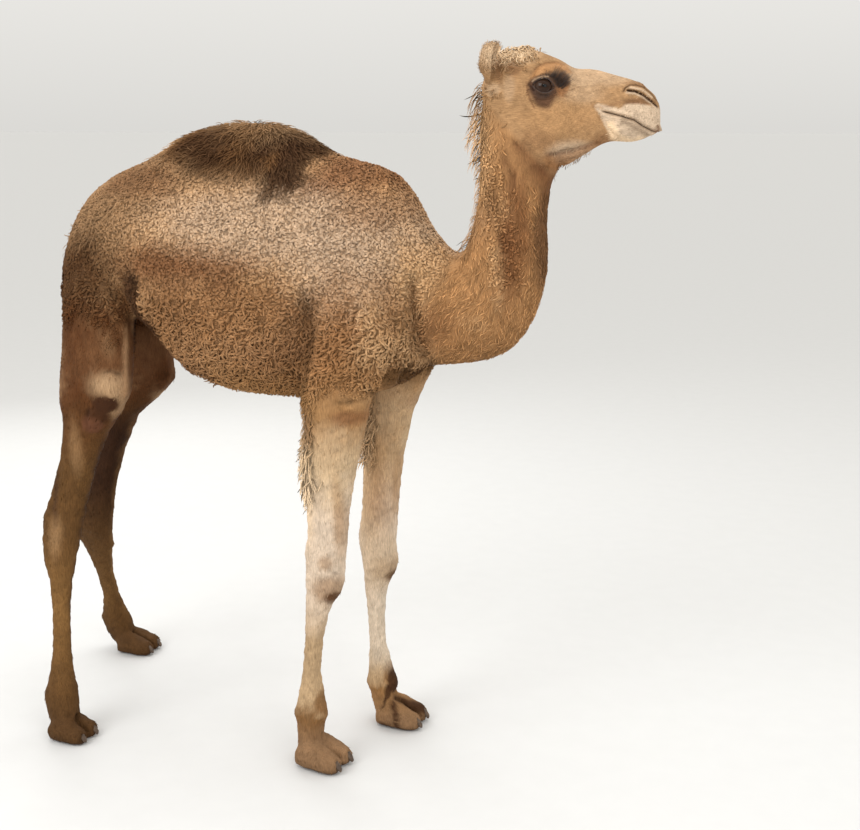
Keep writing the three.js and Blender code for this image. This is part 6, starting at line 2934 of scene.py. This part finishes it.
    @staticmethod
    def short(s: Surface) -> np.ndarray:
        """How thickly the legs' and the tail's short hair grows: none of it on the soles."""
        return np.maximum(s.parts.leg, s.parts.tail) * rise(0.008, 0.020, s.points[:, 2])

    @staticmethod
    def brush(s: Surface) -> np.ndarray:
        """The long hair at the tail's end."""
        return s.parts.tail * rise(1.12, 1.0, s.points[:, 2])


def cut_across(
    name: str, limits: Sequence[float], lock: Lock, finish: HairFinish,
    cover: Callable[[Surface], np.ndarray],
) -> list[Coat]:
    """One kind of wool in several pieces, so that none of them has too many triangles.

    Args:
        name: what the pieces are called, before their number.
        limits: where one piece ends and the next begins, from the rump to the chest.
        lock: the kind of lock.
        finish: the hair's finish.
        cover: how thickly it grows.

    Returns:
        The pieces.
    """
    return [
        Coat(f"{name}_{i + 1}", Slot.CURLED, lock, finish,
             lambda s, low=low, high=high: cover(s) * band(s.points[:, 0], low, high), Growth.wool_length)
        for i, (low, high) in enumerate(zip(limits, limits[1:]))
    ]


def coats() -> list[Coat]:
    """The pieces of the coat.

    Returns:
        The pieces: the wool from the rump to the chest, then hump, neck, head, legs and tail.
    """
    curled = HairFinish("tight_curls", root_shade=0.74, tip_shade=1.06, tone_spread=0.12, strands=6.0,
                        strand_contrast=0.45, crimp=0.6)
    hanging = HairFinish("hanging_ringlets", root_shade=0.70, tip_shade=1.07, tone_spread=0.14, strands=6.0,
                         strand_contrast=0.45, crimp=0.6)
    soft = HairFinish("soft_dark_hair", root_shade=0.75, tip_shade=1.10, tone_spread=0.18, strands=6.0,
                      softness=0.7)
    sleek = HairFinish("sleek_hair", root_shade=0.80, tip_shade=1.04, tone_spread=0.13, strand_contrast=0.20)
    short_curled = HairFinish("short_curls", root_shade=0.52, tip_shade=1.12, tone_spread=0.24, strands=6.0,
                              strand_contrast=0.45, crimp=0.5, softness=0.45)
    shaggy = HairFinish("neck_hair", root_shade=0.60, tip_shade=1.06, tone_spread=0.34, strand_contrast=0.45,
                        softness=0.45)
    wisps = HairFinish("pale_wisps", root_shade=0.90, tip_shade=1.30, tone_spread=0.16, root_warmth=0.95,
                       softness=0.7)
    g = Growth
    return [
        *cut_across("curls", (-0.90, -0.50, -0.33, -0.16, 0.02, 0.16, 0.60), CURLS, curled,
                    lambda s: g.wool(s) * g.curled(s)),
        *cut_across("ringlets", (-0.90, -0.12, 0.60), RINGLETS, hanging,
                    lambda s: g.wool(s) * (1 - g.curled(s))),
        Coat("hump_hair", Slot.HUMP, HUMP_HAIR, soft, lambda s: s.parts.hump, lie=lambda s: s.hump_lie),
        Coat("neck_hair", Slot.NECK, NECK_HAIR, shaggy, g.neck),
        Coat("neck_curls", Slot.NECK, NECK_CURLS, short_curled, g.neck_curls),
        Coat("mane", Slot.NECK, MANE, wisps, g.nape, g.nape_length),
        Coat("crown_curls", Slot.SHORT, CROWN, sleek, g.crown),
        Coat("ear_fuzz", Slot.SHORT, EAR_FUZZ, sleek, lambda s: s.ears, lie=lambda s: s.ear_lie),
        Coat("jaw_fringe", Slot.SHORT, FRINGE, sleek, g.jaw, g.jaw_length),
        Coat("forearm_fringe", Slot.LEG, FOREARM_TUFTS, wisps, g.forearm, g.forearm_length),
        Coat("tail_brush", Slot.LEG, BRUSH, sleek, g.brush),
        Coat("leg_hair", Slot.LEG, LEG_HAIR, sleek, g.short),
        Coat("thigh_hair", Slot.LEG, LEG_HAIR, sleek, lambda s: s.short_trunk),
        Coat("face_hair", Slot.SHORT, FACE_HAIR, sleek, g.face),
    ]


# ---- the room -----------------------------------------------------------------------------------


@dataclass
class Studio:
    """A pale floor, soft light and the camera.

    Fields:
        eye: where the camera stands.
        azimuth: how far it looks to the left of the row's +Y, in degrees.
        pitch: how far it looks down, in degrees.
        lens: its focal length in millimetres.
        horizon, zenith: how strong the sky's light is at the floor's far edge and overhead.
    """

    eye: tuple[float, float, float] = (1.589, -3.092, 1.6)
    azimuth: float = 22.0
    pitch: float = 11.91
    lens: float = 57.1
    horizon: float = 0.712
    zenith: float = 1.10

    def build(self) -> None:
        """Makes the camera, the lights and the floor."""
        self.camera()
        self.floor()
        self.light("key", (-1.6, -3.4, 3.4), 2.6, 105.0)
        self.light("fill", (3.4, -2.6, 2.0), 2.6, 34.0)
        self.light("top", (0.0, 0.6, 4.4), 3.0, 44.0)
        self.light("rim", (-3.0, 2.8, 2.6), 2.0, 40.0)
        self.light("spark", (2.4, -2.6, 3.0), 0.10, 6.0)
        self.sky()
        bpy.context.scene.view_settings.view_transform = "Standard"

    def sky(self) -> None:
        """Even soft light from all round, a little dimmer at the height of the floor's far edge."""
        world = bpy.data.worlds.new("studio")
        world.use_nodes = True
        g = Graph(world.node_tree)
        way = g.add("ShaderNodeTexCoord").outputs["Generated"]
        split = g.add("ShaderNodeSeparateXYZ", {"Vector": way})
        inputs = {"Value": split.outputs["Z"], "From Min": 0.0, "From Max": 0.35,
                  "To Min": self.horizon, "To Max": self.zenith}
        background = world.node_tree.nodes["Background"]
        g.feed(background.inputs["Color"], (1.0, 0.984, 0.944, 1.0))
        g.feed(background.inputs["Strength"], g.add("ShaderNodeMapRange", inputs).outputs["Result"])
        bpy.context.scene.world = world

    def camera(self) -> None:
        """Sets the camera where the viewer stands."""
        data = bpy.data.cameras.new("camera")
        data.lens = self.lens
        data.sensor_width = 36.0
        data.clip_end = 1000.0
        camera = bpy.data.objects.new("camera", data)
        camera.location = self.eye
        camera.rotation_euler = (math.radians(90 - self.pitch), 0.0, math.radians(self.azimuth))
        bpy.context.scene.collection.objects.link(camera)
        bpy.context.scene.camera = camera

    def light(self, name: str, place: tuple[float, float, float], size: float, power: float) -> None:
        """One square soft light that faces the camel.

        Args:
            name: its name.
            place: where it stands.
            size: its side.
            power: its power in watts.
        """
        data = bpy.data.lights.new(name, "AREA")
        data.size = size
        data.energy = power
        lamp = bpy.data.objects.new(name, data)
        lamp.location = place
        lamp.rotation_euler = (Vector((0, 0, 1.0)) - Vector(place)).to_track_quat("-Z", "Y").to_euler()
        bpy.context.scene.collection.objects.link(lamp)

    def floor(self) -> None:
        """A wide pale floor at the level of the soles."""
        half = 400.0
        corners = [(-half, -half, 0), (half, -half, 0), (half, half, 0), (-half, half, 0)]
        floor = new_object("floor", mesh_of("floor", np.array(corners, float), [(0, 1, 2, 3)]))
        g = ShaderGraph("pale_floor")
        grain = g.noise(g.position(), 14.0, 4.0)
        g.set(Base_Color=g.mix(grain, (0.615, 0.615, 0.61), (0.645, 0.645, 0.64)), Roughness=0.8)
        floor.data.materials.append(g.material)


# ---- all together -------------------------------------------------------------------------------


def main() -> None:
    """Builds the room, the skin, the coat, the eyes and the claws, in that order."""
    layout = "%(name)s %(relativeCreated)d: %(message)s"
    logging.basicConfig(level=logging.INFO, format=layout, stream=sys.stdout)
    Studio().build()
    skin = Skin()
    piece = skin.build()
    finished(piece, SkinFinish().material())
    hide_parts(*flesh_nodes())
    surface = Surface.of(skin.mesh)
    tree = LockTree()
    for coat in coats():
        coat.build(skin.mesh, surface, tree)
    for side in SIDES:
        Eye(side).build(skin.mesh)
    for node in sorted(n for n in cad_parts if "_claw_" in n):
        Claw(node).build()


if __name__ == "__main__":
    main()
